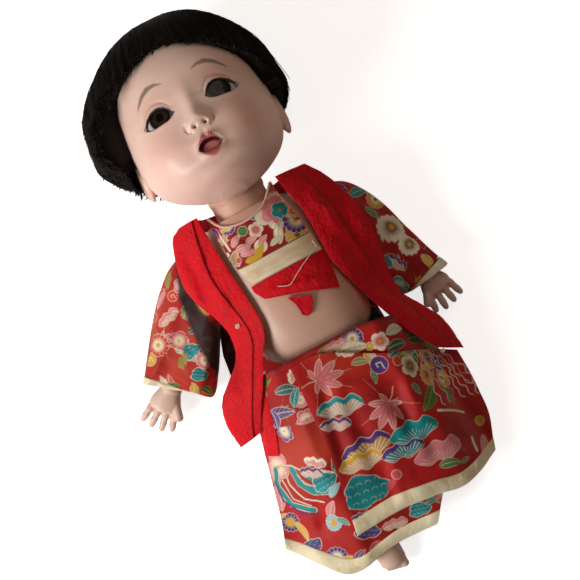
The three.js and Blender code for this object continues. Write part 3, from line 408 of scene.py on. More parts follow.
# floor slab and room light: white to the camera and through glass, the room's dim tone elsewhere
def makeStage():
    size = stageSettings["floorSize"] / mm / 2
    corners = [(-size, -size, 0), (size, -size, 0), (size, size, 0), (-size, size, 0)]
    low = [(x, y, -40) for x, y, _ in corners]
    sides = [(0, 1, 2, 3), (7, 6, 5, 4), (0, 4, 5, 1), (1, 5, 6, 2), (2, 6, 7, 3), (3, 7, 4, 0)]
    material, nodes, links, surface = softMaterial("paleFloor")
    speckle = nodes.new("ShaderNodeTexNoise")
    ramp = nodes.new("ShaderNodeValToRGB")
    speckle.inputs["Scale"].default_value = 3
    ramp.color_ramp.elements[0].color = (0.95, 0.95, 0.95, 1)
    ramp.color_ramp.elements[1].color = (0.99, 0.99, 0.99, 1)
    links.new(speckle.outputs["Fac"], ramp.inputs["Fac"])
    links.new(ramp.outputs["Color"], surface.inputs["Base Color"])
    surface.inputs["Roughness"].default_value = 0.9
    surface.inputs["Emission Color"].default_value = (1, 1, 1, 1)
    seen = nodes.new("ShaderNodeLightPath")
    glow = nodes.new("ShaderNodeMath")
    glow.operation = "MULTIPLY"
    glow.inputs[1].default_value = stageSettings["floorGlow"]
    links.new(seen.outputs["Is Camera Ray"], glow.inputs[0])
    links.new(glow.outputs["Value"], surface.inputs["Emission Strength"])
    floor = makePiece("floor", np.array(corners + low, float), sides, None, material)
    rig.stage(floor)
    world = bpy.data.worlds.new("roomLight")
    bpy.context.scene.world = world
    world.use_nodes = True
    tree = world.node_tree
    back = tree.nodes["Background"]
    path = tree.nodes.new("ShaderNodeLightPath")
    seen = tree.nodes.new("ShaderNodeMath")
    level = tree.nodes.new("ShaderNodeMix")
    seen.operation = "MAXIMUM"
    level.data_type = "RGBA"
    level.inputs["A"].default_value = (*stageSettings["room"], 1)
    level.inputs["B"].default_value = (1, 1, 1, 1)
    tree.links.new(path.outputs["Is Camera Ray"], seen.inputs[0])
    tree.links.new(path.outputs["Is Transmission Ray"], seen.inputs[1])
    tree.links.new(seen.outputs["Value"], level.inputs["Factor"])
    tree.links.new(level.outputs["Result"], back.inputs["Color"])


lampSettings = {
    "window": {"place": (-1.0, -0.12, 0.62), "size": 0.6, "power": 12.9, "tint": (1.0, 0.975, 0.95)},
    "fill": {"place": (0.5, 0.6, 1.2), "size": 1.2, "power": 3.0, "tint": (1.0, 0.83, 0.68)},
}


# round lamps; each turns to the doll by the two angles of its direction
def makeLamps():
    for name, lamp in lampSettings.items():
        data = bpy.data.lights.new(name, "AREA")
        data.shape = "DISK"
        data.size = lamp["size"]
        data.energy = lamp["power"]
        data.color = lamp["tint"]
        shown = bpy.data.objects.new(name, data)
        bpy.context.scene.collection.objects.link(shown)
        shown.location = lamp["place"]
        away = np.array(lamp["place"]) - np.array([0, 0, 0.04])
        shown.rotation_euler = (math.atan2(math.hypot(away[0], away[1]), away[2]), 0,
                                math.atan2(away[1], away[0]) + math.pi / 2)


cameraSettings = {"place": (0.003, 0.0, 0.850), "roll": -27.0, "lens": 74.8}


# camera straight above the doll, turned by its roll
def makeCamera():
    data = bpy.data.cameras.new("camera")
    data.lens = cameraSettings["lens"]
    data.sensor_width = 36
    data.clip_start = 0.02
    camera = bpy.data.objects.new("camera", data)
    bpy.context.scene.collection.objects.link(camera)
    camera.location = cameraSettings["place"]
    camera.rotation_euler = (0, 0, math.radians(cameraSettings["roll"]))
    bpy.context.scene.camera = camera
    bpy.context.scene.view_settings.view_transform = "Standard"


makeCamera()
makeStage()
makeLamps()
print("stage, lamps and camera set")


# finishes

# nodes that every finish uses: object coordinates, and noise or waves at a scale per metre
class finishTree:
    def __init__(self, name, painted=True, base=(0.8, 0.8, 0.8)):
        self.material, self.nodes, self.links, self.surface = softMaterial(name)
        self.place = self.nodes.new("ShaderNodeTexCoord").outputs["Object"]
        if painted:
            layer = self.nodes.new("ShaderNodeVertexColor")
            layer.layer_name = "paint"
            self.tint = layer.outputs["Color"]
        else:
            self.tint = None
            self.base = base

    def noise(self, scale, detail=3.0, stretch=None, rough=0.55):
        node = self.nodes.new("ShaderNodeTexNoise")
        node.inputs["Scale"].default_value = scale
        node.inputs["Detail"].default_value = detail
        node.inputs["Roughness"].default_value = rough
        self.links.new(self.stretched(stretch), node.inputs["Vector"])
        return node.outputs["Fac"]

    def stretched(self, stretch):
        if stretch is None:
            return self.place
        node = self.nodes.new("ShaderNodeMapping")
        node.inputs["Scale"].default_value = stretch[:3]
        node.inputs["Rotation"].default_value = (0, 0, stretch[3] if len(stretch) > 3 else 0)
        self.links.new(self.place, node.inputs["Vector"])
        return node.outputs["Vector"]

    def wave(self, scale, axis="X", stretch=None, distortion=1.0):
        node = self.nodes.new("ShaderNodeTexWave")
        node.bands_direction = axis
        node.inputs["Scale"].default_value = scale
        node.inputs["Distortion"].default_value = distortion
        node.inputs["Detail"].default_value = 1
        node.inputs["Detail Scale"].default_value = 2
        self.links.new(self.stretched(stretch), node.inputs["Vector"])
        return node.outputs["Fac"]

    def ramp(self, value, *stops):
        node = self.nodes.new("ShaderNodeValToRGB")
        elements = node.color_ramp.elements
        while len(elements) < len(stops):
            elements.new(0.5)
        for element, (position, shade) in zip(elements, stops):
            element.position = position
            element.color = (*([shade] * 3 if np.isscalar(shade) else shade), 1)
        self.links.new(value, node.inputs["Fac"])
        return node.outputs["Color"]

    def sums(self, operation, a, b):
        node = self.nodes.new("ShaderNodeMath")
        node.operation = operation
        for socket, value in zip(node.inputs, (a, b)):
            if isinstance(value, (int, float)):
                socket.default_value = value
            else:
                self.links.new(value, socket)
        return node.outputs["Value"]

    # colour times a shade, kept to the base colour socket
    def colourBy(self, shade, tint=None):
        node = self.nodes.new("ShaderNodeMix")
        node.data_type = "RGBA"
        node.blend_type = "MULTIPLY"
        node.inputs["Factor"].default_value = 1
        source = tint or self.tint
        if source is None:
            node.inputs["A"].default_value = (*self.base, 1)
        else:
            self.links.new(source, node.inputs["A"])
        self.links.new(shade, node.inputs["B"])
        self.links.new(node.outputs["Result"], self.surface.inputs["Base Color"])

    def bump(self, height, strength, depth):
        node = self.nodes.new("ShaderNodeBump")
        node.inputs["Strength"].default_value = strength
        node.inputs["Distance"].default_value = depth
        self.links.new(height, node.inputs["Height"])
        self.links.new(node.outputs["Normal"], self.surface.inputs["Normal"])

    def rough(self, value, low, high):
        self.links.new(self.ramp(value, (0.3, low), (0.7, high)), self.surface.inputs["Roughness"])

    def done(self, **sockets):
        for name, value in sockets.items():
            self.surface.inputs[name.replace("_", " ")].default_value = value
        return self.material


# skin paint: slow mottle in colour and roughness, fine bumps, a little light under the surface
def gofunFinish():
    tree = finishTree("gofun")
    mottle = tree.noise(55, 4)
    tree.colourBy(tree.ramp(mottle, (0.3, (0.95, 0.935, 0.92)), (0.7, (1, 1, 1))))
    tree.rough(tree.noise(140, 3), 0.36, 0.5)
    tree.bump(tree.noise(900, 2), 0.06, 0.0002)
    return tree.done(Specular_IOR_Level=0.42, Subsurface_Weight=0.06, Subsurface_Scale=0.004,
                     Coat_Weight=0.06, Coat_Roughness=0.35)


# glass of the eyes: nearly even colour, low roughness, a thin clear coat
def glassFinish():
    tree = finishTree("eyeGlass")
    tree.colourBy(tree.ramp(tree.noise(2600, 3), (0.3, 0.75), (0.7, 1.0)))
    tree.rough(tree.noise(300, 2), 0.08, 0.14)
    return tree.done(Coat_Weight=0.2, Coat_Roughness=0.03, Specular_IOR_Level=0.18)


# hair: one noise drawn out along the strands gives colour, roughness and bumps
def hairFinish():
    tree = finishTree("hair")
    streak = tree.noise(260, 3, (1, 0.12, 1, 0.2))
    tree.colourBy(tree.ramp(streak, (0.35, 0.5), (0.65, 1.5)))
    tree.rough(streak, 0.5, 0.72)
    tree.bump(streak, 0.3, 0.0004)
    return tree.done(Specular_IOR_Level=0.2)


# woven cloth: two crossed fine waves for warp and weft, slow noise for wear and fading
def clothFinish(name, threads, roughLow, roughHigh, sheen, depth=0.00008, painted=True,
                base=(0.8, 0.8, 0.8), fade=0.12):
    tree = finishTree(name, painted, base)
    warp = tree.wave(threads, "X", None, 0.6)
    weft = tree.wave(threads * 0.9, "Y", None, 0.6)
    weave = tree.sums("MULTIPLY", warp, weft)
    wearAndShade = tree.noise(32, 4)
    shade = tree.sums("ADD", tree.sums("MULTIPLY", weave, 0.1), tree.sums("MULTIPLY", wearAndShade, fade * 2))
    tree.colourBy(tree.ramp(shade, (0.0, 1 - fade), (0.1 + fade * 2, 1.04)))
    tree.rough(wearAndShade, roughLow, roughHigh)
    tree.bump(tree.sums("ADD", weave, tree.sums("MULTIPLY", tree.noise(380, 3), 0.6)), 0.5, depth)
    return tree.done(Sheen_Weight=sheen, Sheen_Roughness=0.4, Specular_IOR_Level=0.3)


# crepe: coarse crinkled grain, drawn out a little along the strip; its colour follows the grain's height, darker in
# the hollows and lighter on the crests as painted shade and light
def crepeFinish():
    tree = finishTree("redCrepe")
    grain = tree.noise(620, 4, (1, 0.7, 1, 0.5), 0.62)
    pucker = tree.noise(190, 3, (1, 0.6, 1, 0.3))
    height = tree.sums("ADD", grain, pucker)
    # painted shade in the grain's hollows and painted light on its crests
    tree.colourBy(tree.ramp(height, (0.35, 0.52), (1.35, 1.16)))
    tree.rough(pucker, 0.62, 0.85)
    tree.bump(height, 0.85, 0.0009)
    return tree.done(Sheen_Weight=0.15, Sheen_Roughness=0.5, Sheen_Tint=(1.0, 0.4, 0.35, 1),
                     Specular_IOR_Level=0.18)


# thread: slanted waves for its twist
def threadFinish():
    tree = finishTree("thread", False, tuple(colour("e9e2cf")))
    twist = tree.wave(900, "DIAGONAL", None, 0.4)
    tree.colourBy(tree.ramp(twist, (0.1, 0.62), (0.8, 1.0)))
    tree.rough(twist, 0.6, 0.85)
    tree.bump(twist, 0.6, 0.0002)
    return tree.done(Sheen_Weight=0.2, Specular_IOR_Level=0.25)


# wood: waves drawn out along the grain
def woodFinish():
    tree = finishTree("pegWood", False, tuple(colour("b98a55")))
    grain = tree.wave(120, "X", (1, 0.08, 1), 4)
    tree.colourBy(tree.ramp(grain, (0.1, 0.7), (0.9, 1.05)))
    tree.rough(grain, 0.55, 0.75)
    tree.bump(grain, 0.25, 0.0002)
    return tree.done(Specular_IOR_Level=0.3)


gofun, eyeGlass, hairBlack, crepeRed = gofunFinish(), glassFinish(), hairFinish(), crepeFinish()
printedSilk = clothFinish("printedSilk", 1500, 0.5, 0.68, 0.12)
creamSilk = clothFinish("creamSilk", 1300, 0.45, 0.62, 0.15, fade=0.16)
cottonCloth = clothFinish("cotton", 900, 0.8, 0.95, 0.2, 0.00018)
threadWax, pegWood = threadFinish(), woodFinish()
print("finishes made")


# head: rings from chin to crown, with the face worked out as heights on them

headSettings = {
    "halfWidth": 50.0, "upper": 60.0, "lower": 60.0, "forward": 48.0, "back": 51.0,
    "centre": (0.0, 130.0, 56.0), "tilt": math.radians(15), "rows": 268, "cols": 356,
}
heightShares = [-1, -.94, -.83, -.68, -.5, -.33, -.16, .05, .3, .55, .76, .92, 1]
widthShares = [.16, .42, .67, .87, .97, .995, 1, .995, .965, .87, .68, .42, .12]
forwardShares = [.3, .62, .8, .83, .87, .91, .95, .99, 1, .9, .7, .42, .12]
backShares = [.16, .26, .42, .64, .83, .93, .98, 1, .99, .89, .7, .42, .12]
# place across and up, height, spread across and up, in shares of the head
featureShares = [
    (0, -.37, .105, .085, .07), (0, -.19, .04, .07, .15), (.115, -.41, .045, .05, .045),
    (.5, -.54, .06, .24, .2),
    (0, -.595, .05, .17, .05), (0, -.745, .05, .15, .05), (0, -.665, -.06, .1, .035),
    (0, -.855, -.035, .2, .035),
    (0, -.94, .05, .22, .06), (.43, -.12, -.055, .24, .13),
]
faceSettings = {
    "eyeSpread": 21.6, "eyeUp": -7.9, "eyeHalf": 10.2, "lidRise": 5.1, "lidFall": 5.0, "irisRadius": 6.7,
    "pupilRadius": 2.6,
    "skin": "efcdbf", "shade": "d69e8c", "blush": "e39c8e", "brow": "5c4a3e", "lid": "1c100c",
    "lip": "c0474c", "lipPale": "d98c88", "lipDark": "430a0f", "tongue": "c9716c",
}


# the head's own frame: across, up to the crown, forward out of the face
def headPoint(across, up, forward):
    c, s = math.cos(headSettings["tilt"]), math.sin(headSettings["tilt"])
    x, y, z = headSettings["centre"]
    across, up, forward = np.broadcast_arrays(across, up, forward)
    return np.stack([x + across, y + up * c + forward * s, z - up * s + forward * c], -1)


# sum of bells at the features, mirrored left to right
def faceRelief(across, up):
    x, y = across / headSettings["halfWidth"], up / headSettings["lower"]
    relief = 0
    for px, py, height, sx, sy in featureShares:
        for side in ([0] if px == 0 else [-px, px]):
            relief = relief + height * bell((x - side) / sx, (y - py) / sy)
    return relief * headSettings["forward"]


# half-sizes by height, a superellipse by angle, and the relief on the half that faces forward
def headSurface(share, angle, grow=0, relief=1):
    half = headSettings["halfWidth"]
    up = share * np.where(share < 0, headSettings["lower"], headSettings["upper"])
    width = through(heightShares, widthShares, share) * half + grow
    depth = np.where(np.sin(angle) > 0,
                     through(heightShares, forwardShares, share) * headSettings["forward"],
                     through(heightShares, backShares, share) * headSettings["back"]) + grow
    across, out = rounded(angle, width, depth, 2.2)
    facing = ease(np.sin(angle) * 1.6)
    up = np.broadcast_to(up, across.shape)
    return across, up, out + relief * facing * faceRelief(across, up)


# almond opening: heights of the upper and lower lid over a place from the inner corner (-1) to the outer (1)
def lidAt(place):
    t = np.clip(place, -1, 1)
    upper = faceSettings["lidRise"] * (1 - np.abs(t) ** 2.3) ** 0.8 * (1 - 0.1 * t)
    lower = -faceSettings["lidFall"] * (1 - np.abs(t) ** 2.6) ** 0.85 * (1 - 0.06 * t)
    drop = -2.1 * np.abs(t) ** 2
    return upper + drop, lower + drop


# signed depth inside the opening of one eye: positive inside, in millimetres
def eyeInside(across, up, side):
    local = (across * side - faceSettings["eyeSpread"]) / faceSettings["eyeHalf"]
    upper, lower = lidAt(local)
    rise = up - faceSettings["eyeUp"]
    ends = (1 - np.abs(local)) * faceSettings["eyeHalf"] * 0.8
    return np.minimum(np.minimum(upper - rise, rise - lower), ends)


# open mouth: a flattened oval, arched along its top
def mouthInside(across, up):
    x = across / 7.9
    arch = up + 40.3 - 1.1 * (1 - x * x)
    return (1 - np.hypot(x, arch / 3.3)) * 3.3


# heights added to the plain relief: lids, lips, nostrils, creases
def fineRelief(across, up):
    added = np.zeros(np.shape(across))
    for side in (-1, 1):
        local = (across * side - faceSettings["eyeSpread"]) / faceSettings["eyeHalf"]
        upper, lower = lidAt(local)
        rise = up - faceSettings["eyeUp"]
        near = bell(local / 0.7)
        added += (0.75 * near * bell((rise - upper - 1.3) / 1.2)
                  - 0.5 * near * bell((rise - upper - 3.9) / 0.8))
        added += 0.5 * near * bell((rise - lower + 1.4) / 1.1)
        added -= 3.2 * ease(eyeInside(across, up, side) / 0.8)
        added -= 3.4 * bell((across * side - 3.6) / 1.0, (up + 26.0) / 0.75)
        wing = strokeGap(across * side, up, [(9.3, -22.6), (10.1, -24.6), (9.0, -27.0), (6.9, -28.0)], 0.0)
        added -= 0.85 * bell(wing / 0.7)
    added += 0.9 * bell((np.hypot(across / 1.25, (up + 40) / 0.95) - 6.6) / 1.5)
    added -= 0.8 * bell(across / 1.1, (up + 32.2) / 2.2)
    added += (0.7 * bell((across - 2.4) / 1.6, (up + 34.4) / 1.3)
              + 0.7 * bell((across + 2.4) / 1.6, (up + 34.4) / 1.3))
    added -= 2.6 * ease(mouthInside(across, up) / 1.2)
    added += 1.9 * bell(across / 4.1, (up + 39.5) / 1.8)
    return added


# paint of the face over its places, as linear colours
def facePaint(across, up, forward):
    face = faceSettings
    tint = np.broadcast_to(colour(face["skin"]), (*across.shape, 3))
    front = ease(forward / 18)
    tint = mix(tint, colour("f3d6ca"), 0.5 * front * bell(across / 30, (up + 12) / 30))
    for side in (-1, 1):
        cheek = bell((across * side - 27) / 11, (up + 30) / 11)
        tint = mix(tint, colour(face["blush"]), 0.42 * front * cheek)
        tint = mix(tint, colour(face["shade"]),
                   0.55 * front * bell((across * side - 22) / 11, (up - 1.5) / 5))
    tint = mix(tint, colour(face["blush"]), 0.25 * front * bell(across / 14, (up + 56) / 8))
    for side in (-1, 1):
        x = across * side
        local = (x - face["eyeSpread"]) / face["eyeHalf"]
        upper = lidAt(local)[0]
        rise = up - face["eyeUp"]
        inside = eyeInside(across, up, side)
        brow = strokeGap(x, up, [(10.5, 9.0), (15, 10.9), (20, 11.2), (25, 9.2), (29.5, 5.6), (31.5, 3.4)],
                         [.25, .95, 1.55, 1.3, .7, .15])
        hair = 0.6 + 0.4 * np.sin(x * 5.5 + up * 2.5)
        tint = mix(tint, colour(face["brow"]), 0.85 * front * ease(0.5 - brow / 1.3) * (0.75 + 0.25 * hair))
        tint = mix(tint, colour("b98c78"), 0.5 * front * bell(local / .8) * bell((rise - upper - 3.9) / 0.7))
        line = strokeGap(x - face["eyeSpread"], rise, [(-9.9, -1.9), (-8.4, 1.2), (-5.6, 3.9), (-1.5, 5.2),
                                                       (3, 4.8), (7, 2.9), (9.6, .2), (12.3, -1.2)],
                         [.2, .5, .75, .85, .9, .85, .6, .1])
        tint = mix(tint, colour(face["lid"]), front * ease(0.5 - line / 0.5))
        under = strokeGap(x - face["eyeSpread"], rise, [(-9.8, -2.2), (-7.6, -4.4), (-4, -5.4), (0, -5.3),
                                                        (4, -4.9), (7.6, -3.9), (10.2, -1.9)],
                          [.15, .12, .1, .1, .12, .2, .25])
        tint = mix(tint, colour("6b4235"), 0.75 * front * ease(0.5 - under / 0.6))
        rimWide = 0.45 + 0.75 * ease((rise + 1.5) / 4) + 0.4 * ease((np.abs(local) - 0.8) / 0.2)
        tint = mix(tint, colour("1d0f0b"), front * ease(1.2 + inside / rimWide))
        tint = mix(tint, colour("3a1c15"), front * ease(1.3 - np.hypot((x - 3.6) / 0.95, (up + 26.0) / 0.75)))
        # painted shade along the crease of the nose's wing
        wing = strokeGap(x, up, [(9.5, -23.4), (10.1, -25.4), (8.8, -27.4)], [.2, .4, .15])
        tint = mix(tint, colour("6e3d2e"), 0.8 * front * ease(0.5 - wing / 0.7))
    # lips: two arches above, one bow below, radial strokes round the opening
    turn = np.arctan2(up + 40, across)
    strokes = 0.5 + 0.5 * np.sin(turn * 26)
    top = through([-8.2, -5.6, -2.3, 0.1, 2.5, 5.8, 8.4], [-40.2, -36.2, -32.9, -34.4, -32.9, -36.2, -40.3],
                  across)
    low = through([-8.2, -5, -1.6, 1.8, 5.2, 8.4], [-40.2, -45, -47.1, -47.0, -44.8, -40.3], across)
    lips = np.where(np.abs(across) < 8.6, np.minimum(top - up, up - low), -10.0)
    hole = mouthInside(across, up)
    tint = mix(tint, colour("dba79a"), 0.5 * front * ease(0.5 + lips / 3.5))
    tint = mix(tint, colour(face["lip"]), 0.85 * front * ease(0.5 + lips / 1.6) * (0.72 + 0.28 * strokes))
    tint = mix(tint, colour(face["lipPale"]),
               0.55 * front * ease(lips / 0.8) * bell((up + 34.8) / 1.5) * strokes)
    corner = strokeGap(across, up, [(-8.7, -40.6), (-6, -39.2), (0, -38.2), (6, -39.0), (8.8, -40.2)],
                       [.15, .4, .3, .4, .15])
    tongue = (1 - np.hypot(across / 4.9, (up + 39.5) / 2.1)) * 2.1
    streaks = bell(np.abs(np.modf(turn * 3.6 + 30)[0] - 0.5) / 0.15)
    tint = mix(tint, colour("8f161c"), 0.85 * front * streaks * ease(0.3 + lips / 1.2) * ease(-hole / 0.4))
    tint = mix(tint, colour(face["lipDark"]), front * ease(0.5 - corner / 0.5))
    tint = mix(tint, colour(face["lipDark"]), front * ease(0.6 + hole / 0.5))
    tint = mix(tint, colour(face["tongue"]), front * ease(0.5 + tongue / 0.6))
    # painted highlight on the lower part of the tongue
    tint = mix(tint, colour("e2a09a"), 0.7 * front * bell(across / 3.0, (up + 40.4) / 0.7))
    return tint


# head: rows and columns packed by their densities, the face's fine relief added in front
def makeHead():
    rows, cols = headSettings["rows"], headSettings["cols"]
    # rows close up at both ends and at the mouth and eyes, columns in front
    rowDensity = lambda s: 1 / np.sqrt(1.01 - s * s) + 2.4 * bell((s + .36) / .3)
    colDensity = lambda a: 1 + 5.5 * bell((a - np.pi / 2) / .55)
    share = packed(rows, -0.9985, 0.9985, rowDensity)[:, None]
    angle = packed(cols + 1, -np.pi / 2, 1.5 * np.pi, colDensity)[None, :-1]
    across, up, forward = headSurface(share, angle)
    facing = ease((np.sin(angle) - 0.05) * 1.6)
    forward = forward + facing * fineRelief(across, up)
    rings = headPoint(across, up, forward)
    ends = [headPoint(0, -headSettings["lower"], .08 * headSettings["forward"]),
            headPoint(0, headSettings["upper"], 0)]
    tint = facePaint(across, up, forward)
    tint = np.concatenate([tint.reshape(-1, 3), [colour(faceSettings["skin"])] * 2])
    head = skinPiece("head_shell", rings, ends, gofun, tint)
    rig.replaces(head, "head")
    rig.slot(head, "gofun")
    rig.ride(head, "head_group")


earSettings = {
    "rows": 34, "cols": 44, "out": 5.2, "hollow": 3.4, "rim": 0.8, "high": 15.4, "wide": 9.6,
    "tone": "e6bfac",
}


# ear: an oval shell, thinner at the lobe; its front is a bulge, less a hollow, plus the rim round it
def makeEars():
    facts = earSettings
    for side, name in ((-1, "right"), (1, "left")):
        v = np.linspace(0.04, 0.96, facts["rows"])[:, None] * np.pi
        u = np.linspace(0, 2 * np.pi, facts["cols"], endpoint=False)[None, :]
        a, b, c = np.sin(v) * np.cos(u), np.sin(v) * np.sin(u), np.cos(v) * np.ones_like(u)
        lobe = 1 - 0.28 * ease(-c)
        out = facts["out"] * a * lobe
        hollow = ease(a) * bell(c / 0.55, b / 0.5)
        out = (out - facts["hollow"] * hollow
               + facts["rim"] * ease(a) * bell((np.hypot(c / .8, b / .75) - 1) / .2))
        across = side * (headSettings["halfWidth"] * .985 + out + 2.6 * b * -1 * 0.55 + 0.6)
        up = -headSettings["lower"] * .36 + facts["high"] * c
        forward = -headSettings["back"] * .16 + facts["wide"] * b * lobe
        rings = headPoint(across, up, forward)
        ends = [rings[0].mean(0), rings[-1].mean(0)]
        tint = mix(np.broadcast_to(colour(facts["tone"]), rings.shape), colour("d59a88"), 0.6 * hollow)
        tint = np.concatenate([tint.reshape(-1, 3), [colour(facts["tone"])] * 2])
        ear = skinPiece(f"ear_{name}", rings, ends, gofun, tint)
        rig.slot(ear, "gofun")
        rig.ride(ear, "head_group")


# the neck's tone is darker than the face's skin: painted shade under the chin
neckSettings = {
    "low": 50, "high": 92, "rows": 60, "cols": 96, "radius": 20, "middleZ": 44,
    "waist": 66, "roll": 74, "crease": 70.5, "tone": "cda08a",
}


# neck: rings along its axis, waisted, with a soft roll and a crease under the chin
def makeNeck():
    facts = neckSettings
    y = np.linspace(facts["low"], facts["high"], facts["rows"])[:, None]
    angle = np.linspace(0, 2 * np.pi, facts["cols"], endpoint=False)[None, :]
    radius = facts["radius"] - 0.7 * bell((y - facts["waist"]) / 7)
    radius = radius + 0.35 * bell((y - facts["roll"]) / 2) - 0.35 * bell((y - facts["crease"]) / 0.8)
    radius = radius * (1 - 0.03 * bell((y - facts["low"]) / 0.6)) + 0 * angle
    rings = np.stack([radius * np.cos(angle), y + 0 * angle, facts["middleZ"] + radius * np.sin(angle)], -1)
    # painted shade in the crease under the chin
    wearAndShade = 0.5 * bell((y - facts["crease"]) / 1.2) + 0 * angle
    tint = mix(np.broadcast_to(colour(facts["tone"]), rings.shape), colour("b98570"), wearAndShade)
    tint = np.concatenate([tint.reshape(-1, 3), [colour(facts["tone"])] * 2])
    ends = [(0, facts[end], facts["middleZ"]) for end in ("low", "high")]
    neck = skinPiece("neck_shell", rings, ends, gofun, tint)
    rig.slot(neck, "gofun")
    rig.ride(neck, "head_group")


eyeSettings = {
    "wide": 11.2, "high": 7.4, "drop": 0.6, "sunk": 1.55, "dome": 1.25, "domeHigh": 9, "deep": 7.5,
}


# glass eye: a dome that follows the skin a little below it, closed by a bowl behind
def makeEyes():
    face, eye = faceSettings, eyeSettings
    for side, name in ((-1, "right"), (1, "left")):
        ring = np.linspace(0.02, 1, 40)[:, None]
        turn = np.linspace(0, 2 * np.pi, 72, endpoint=False)[None, :]
        x, y = eye["wide"] * ring * np.cos(turn), eye["high"] * ring * np.sin(turn) - eye["drop"]
        across, up = side * (face["eyeSpread"] + x), face["eyeUp"] + y
        share = up / headSettings["lower"]
        width = through(heightShares, widthShares, share) * headSettings["halfWidth"]
        depth = through(heightShares, forwardShares, share) * headSettings["forward"]
        skin = depth * (1 - (np.abs(across) / width) ** 2.2) ** (1 / 2.2) + faceRelief(across, up)
        domed = 1 - (x / eye["wide"]) ** 2 - (y / eye["domeHigh"]) ** 2
        front = skin - eye["sunk"] + eye["dome"] * domed
        back = front[-1:] - eye["deep"] * np.sqrt(np.maximum(1 - ring[::-1] ** 2, 0))
        rings = headPoint(across, up, front)
        bowl = headPoint(across[::-1][1:], up[::-1][1:], back[1:])
        # iris round its centre, darker at its edge and, as painted shade, towards the upper lid; bluish white round
        # it, darkened by painted shade at its top and, with the lids' paint, at both corners
        cx, cy = 20.8 - face["eyeSpread"], 0.1
        away = np.hypot(x - cx, y - cy)
        spoke = 0.5 + 0.5 * np.sin(np.arctan2(y - cy, x - cx) * 38)
        iris = mix(np.broadcast_to(colour("261b13"), (*x.shape, 3)), colour("130d09"),
                   ease((away - 4.2) / 1.8))
        # the iris's lighter ring fades towards the top: painted shade from the upper lid
        iris = mix(iris, colour("3f2f20"),
                   0.5 * bell((away - 4.0) / 1.0) * (0.5 + 0.5 * spoke) * ease(0.7 - (y - cy) / 5))
        iris = mix(iris, colour("060302"), ease((face["pupilRadius"] + .4 - away) / .8))
        white = mix(np.broadcast_to(colour("cdd3d8"), (*x.shape, 3)), colour("8b9aa8"),
                    0.6 * ease((away - 7.5) / 3.5))
        # painted shade under the upper lid, darkening the white towards the top
        white = mix(white, colour("4a3830"), 0.8 * ease((y - 0.2) / 3.0))
        # dark at both corners: partly the lids' painted line, partly painted shade
        white = mix(white, colour("3a1d17"), 0.85 * ease((-x - 6.4) / 1.8) + 0.8 * ease((x - 8.6) / 1.6))
        tint = mix(white, colour("120a08"), bell((away - face["irisRadius"]) / .6))
        tint = mix(tint, iris, ease((face["irisRadius"] - away) / .5 + .5))
        behind = np.broadcast_to(colour("b9bec2"), bowl.shape)
        tint = np.concatenate([tint.reshape(-1, 3), behind.reshape(-1, 3), tint[0, :1].reshape(-1, 3),
                               behind[-1, :1].reshape(-1, 3)])
        every = np.concatenate([rings, bowl])
        glass = skinPiece(f"glass_eye_{name}", every, [every[0].mean(0), every[-1].mean(0)], eyeGlass, tint)
        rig.replaces(glass, f"eye_{name}")
        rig.slot(glass, "eye_glass")
        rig.ride(glass, "head_group")


# hair: a thick cap whose edge height goes by angle, and strands laid down it

hairSettings = {
    "crown": 59.6, "top": 9.0, "side": 8.0, "front": 7.0, "flare": 15.0, "back": 6.5,
    "edgeAngle": [0, 18, 23, 28, 36, 43, 58, 74, 90, 100, 119, 128, 147, 156, 161, 166, 180, 225, 270,
                  315, 342, 360],
    "edgeUp": [-8, -8, -3, 5, 11, 14, 22, 28.5, 34, 34, 30, 27.4, 22.3, 15, 0, -10, -13, -15, -17,
               -15, -11, -8],
    "strands": 3600, "ends": 2150, "locks": 900,
}


# lowest height of the hair at an angle, straight between the listed ones
def hairEdge(angle):
    degrees = np.degrees(angle) % 360
    return np.interp(degrees, hairSettings["edgeAngle"], hairSettings["edgeUp"])


# thickness over the scalp: wider on the right, thin at the front edge
def hairGrow(angle, up):
    side, front = np.cos(angle), np.maximum(np.sin(angle), 0)
    hair = hairSettings
    low = ease((66 - up) / 46) * ease((up + 24) / 20)
    body = (hair["side"] + (hair["back"] - hair["side"]) * np.maximum(-np.sin(angle), 0)
            + (hair["front"] - hair["side"]) * front)
    flare = hair["flare"] * low * np.maximum(-side, 0) ** 1.2 + 4.5 * low * np.maximum(side, 0) ** 1.5
    above = np.clip((up - hairEdge(angle)) / 26, 0, 1)
    thin = 1 - front ** 1.5 * (1 - ease(above * 0.95 + 0.12)) * 0.8
    return (body + flare) * thin


# place on the hair: the head's surface grown by the hair's thickness, raised towards the crown
def hairPoint(angle, up, lift=0):
    share = up / headSettings["upper"]
    grow = hairGrow(angle, up) + lift
    across, _, forward = headSurface(np.minimum(share, .995), angle, grow, 0.15)
    crown = ease((share - .45) / .55)
    return headPoint(across, up + crown * hairSettings["top"], forward)


# smooth maximum of a height and a lowest height: log of one plus e to the height above it
def heldUp(height, low):
    return low + np.logaddexp(0, (height - low) * 1.5) / 1.5


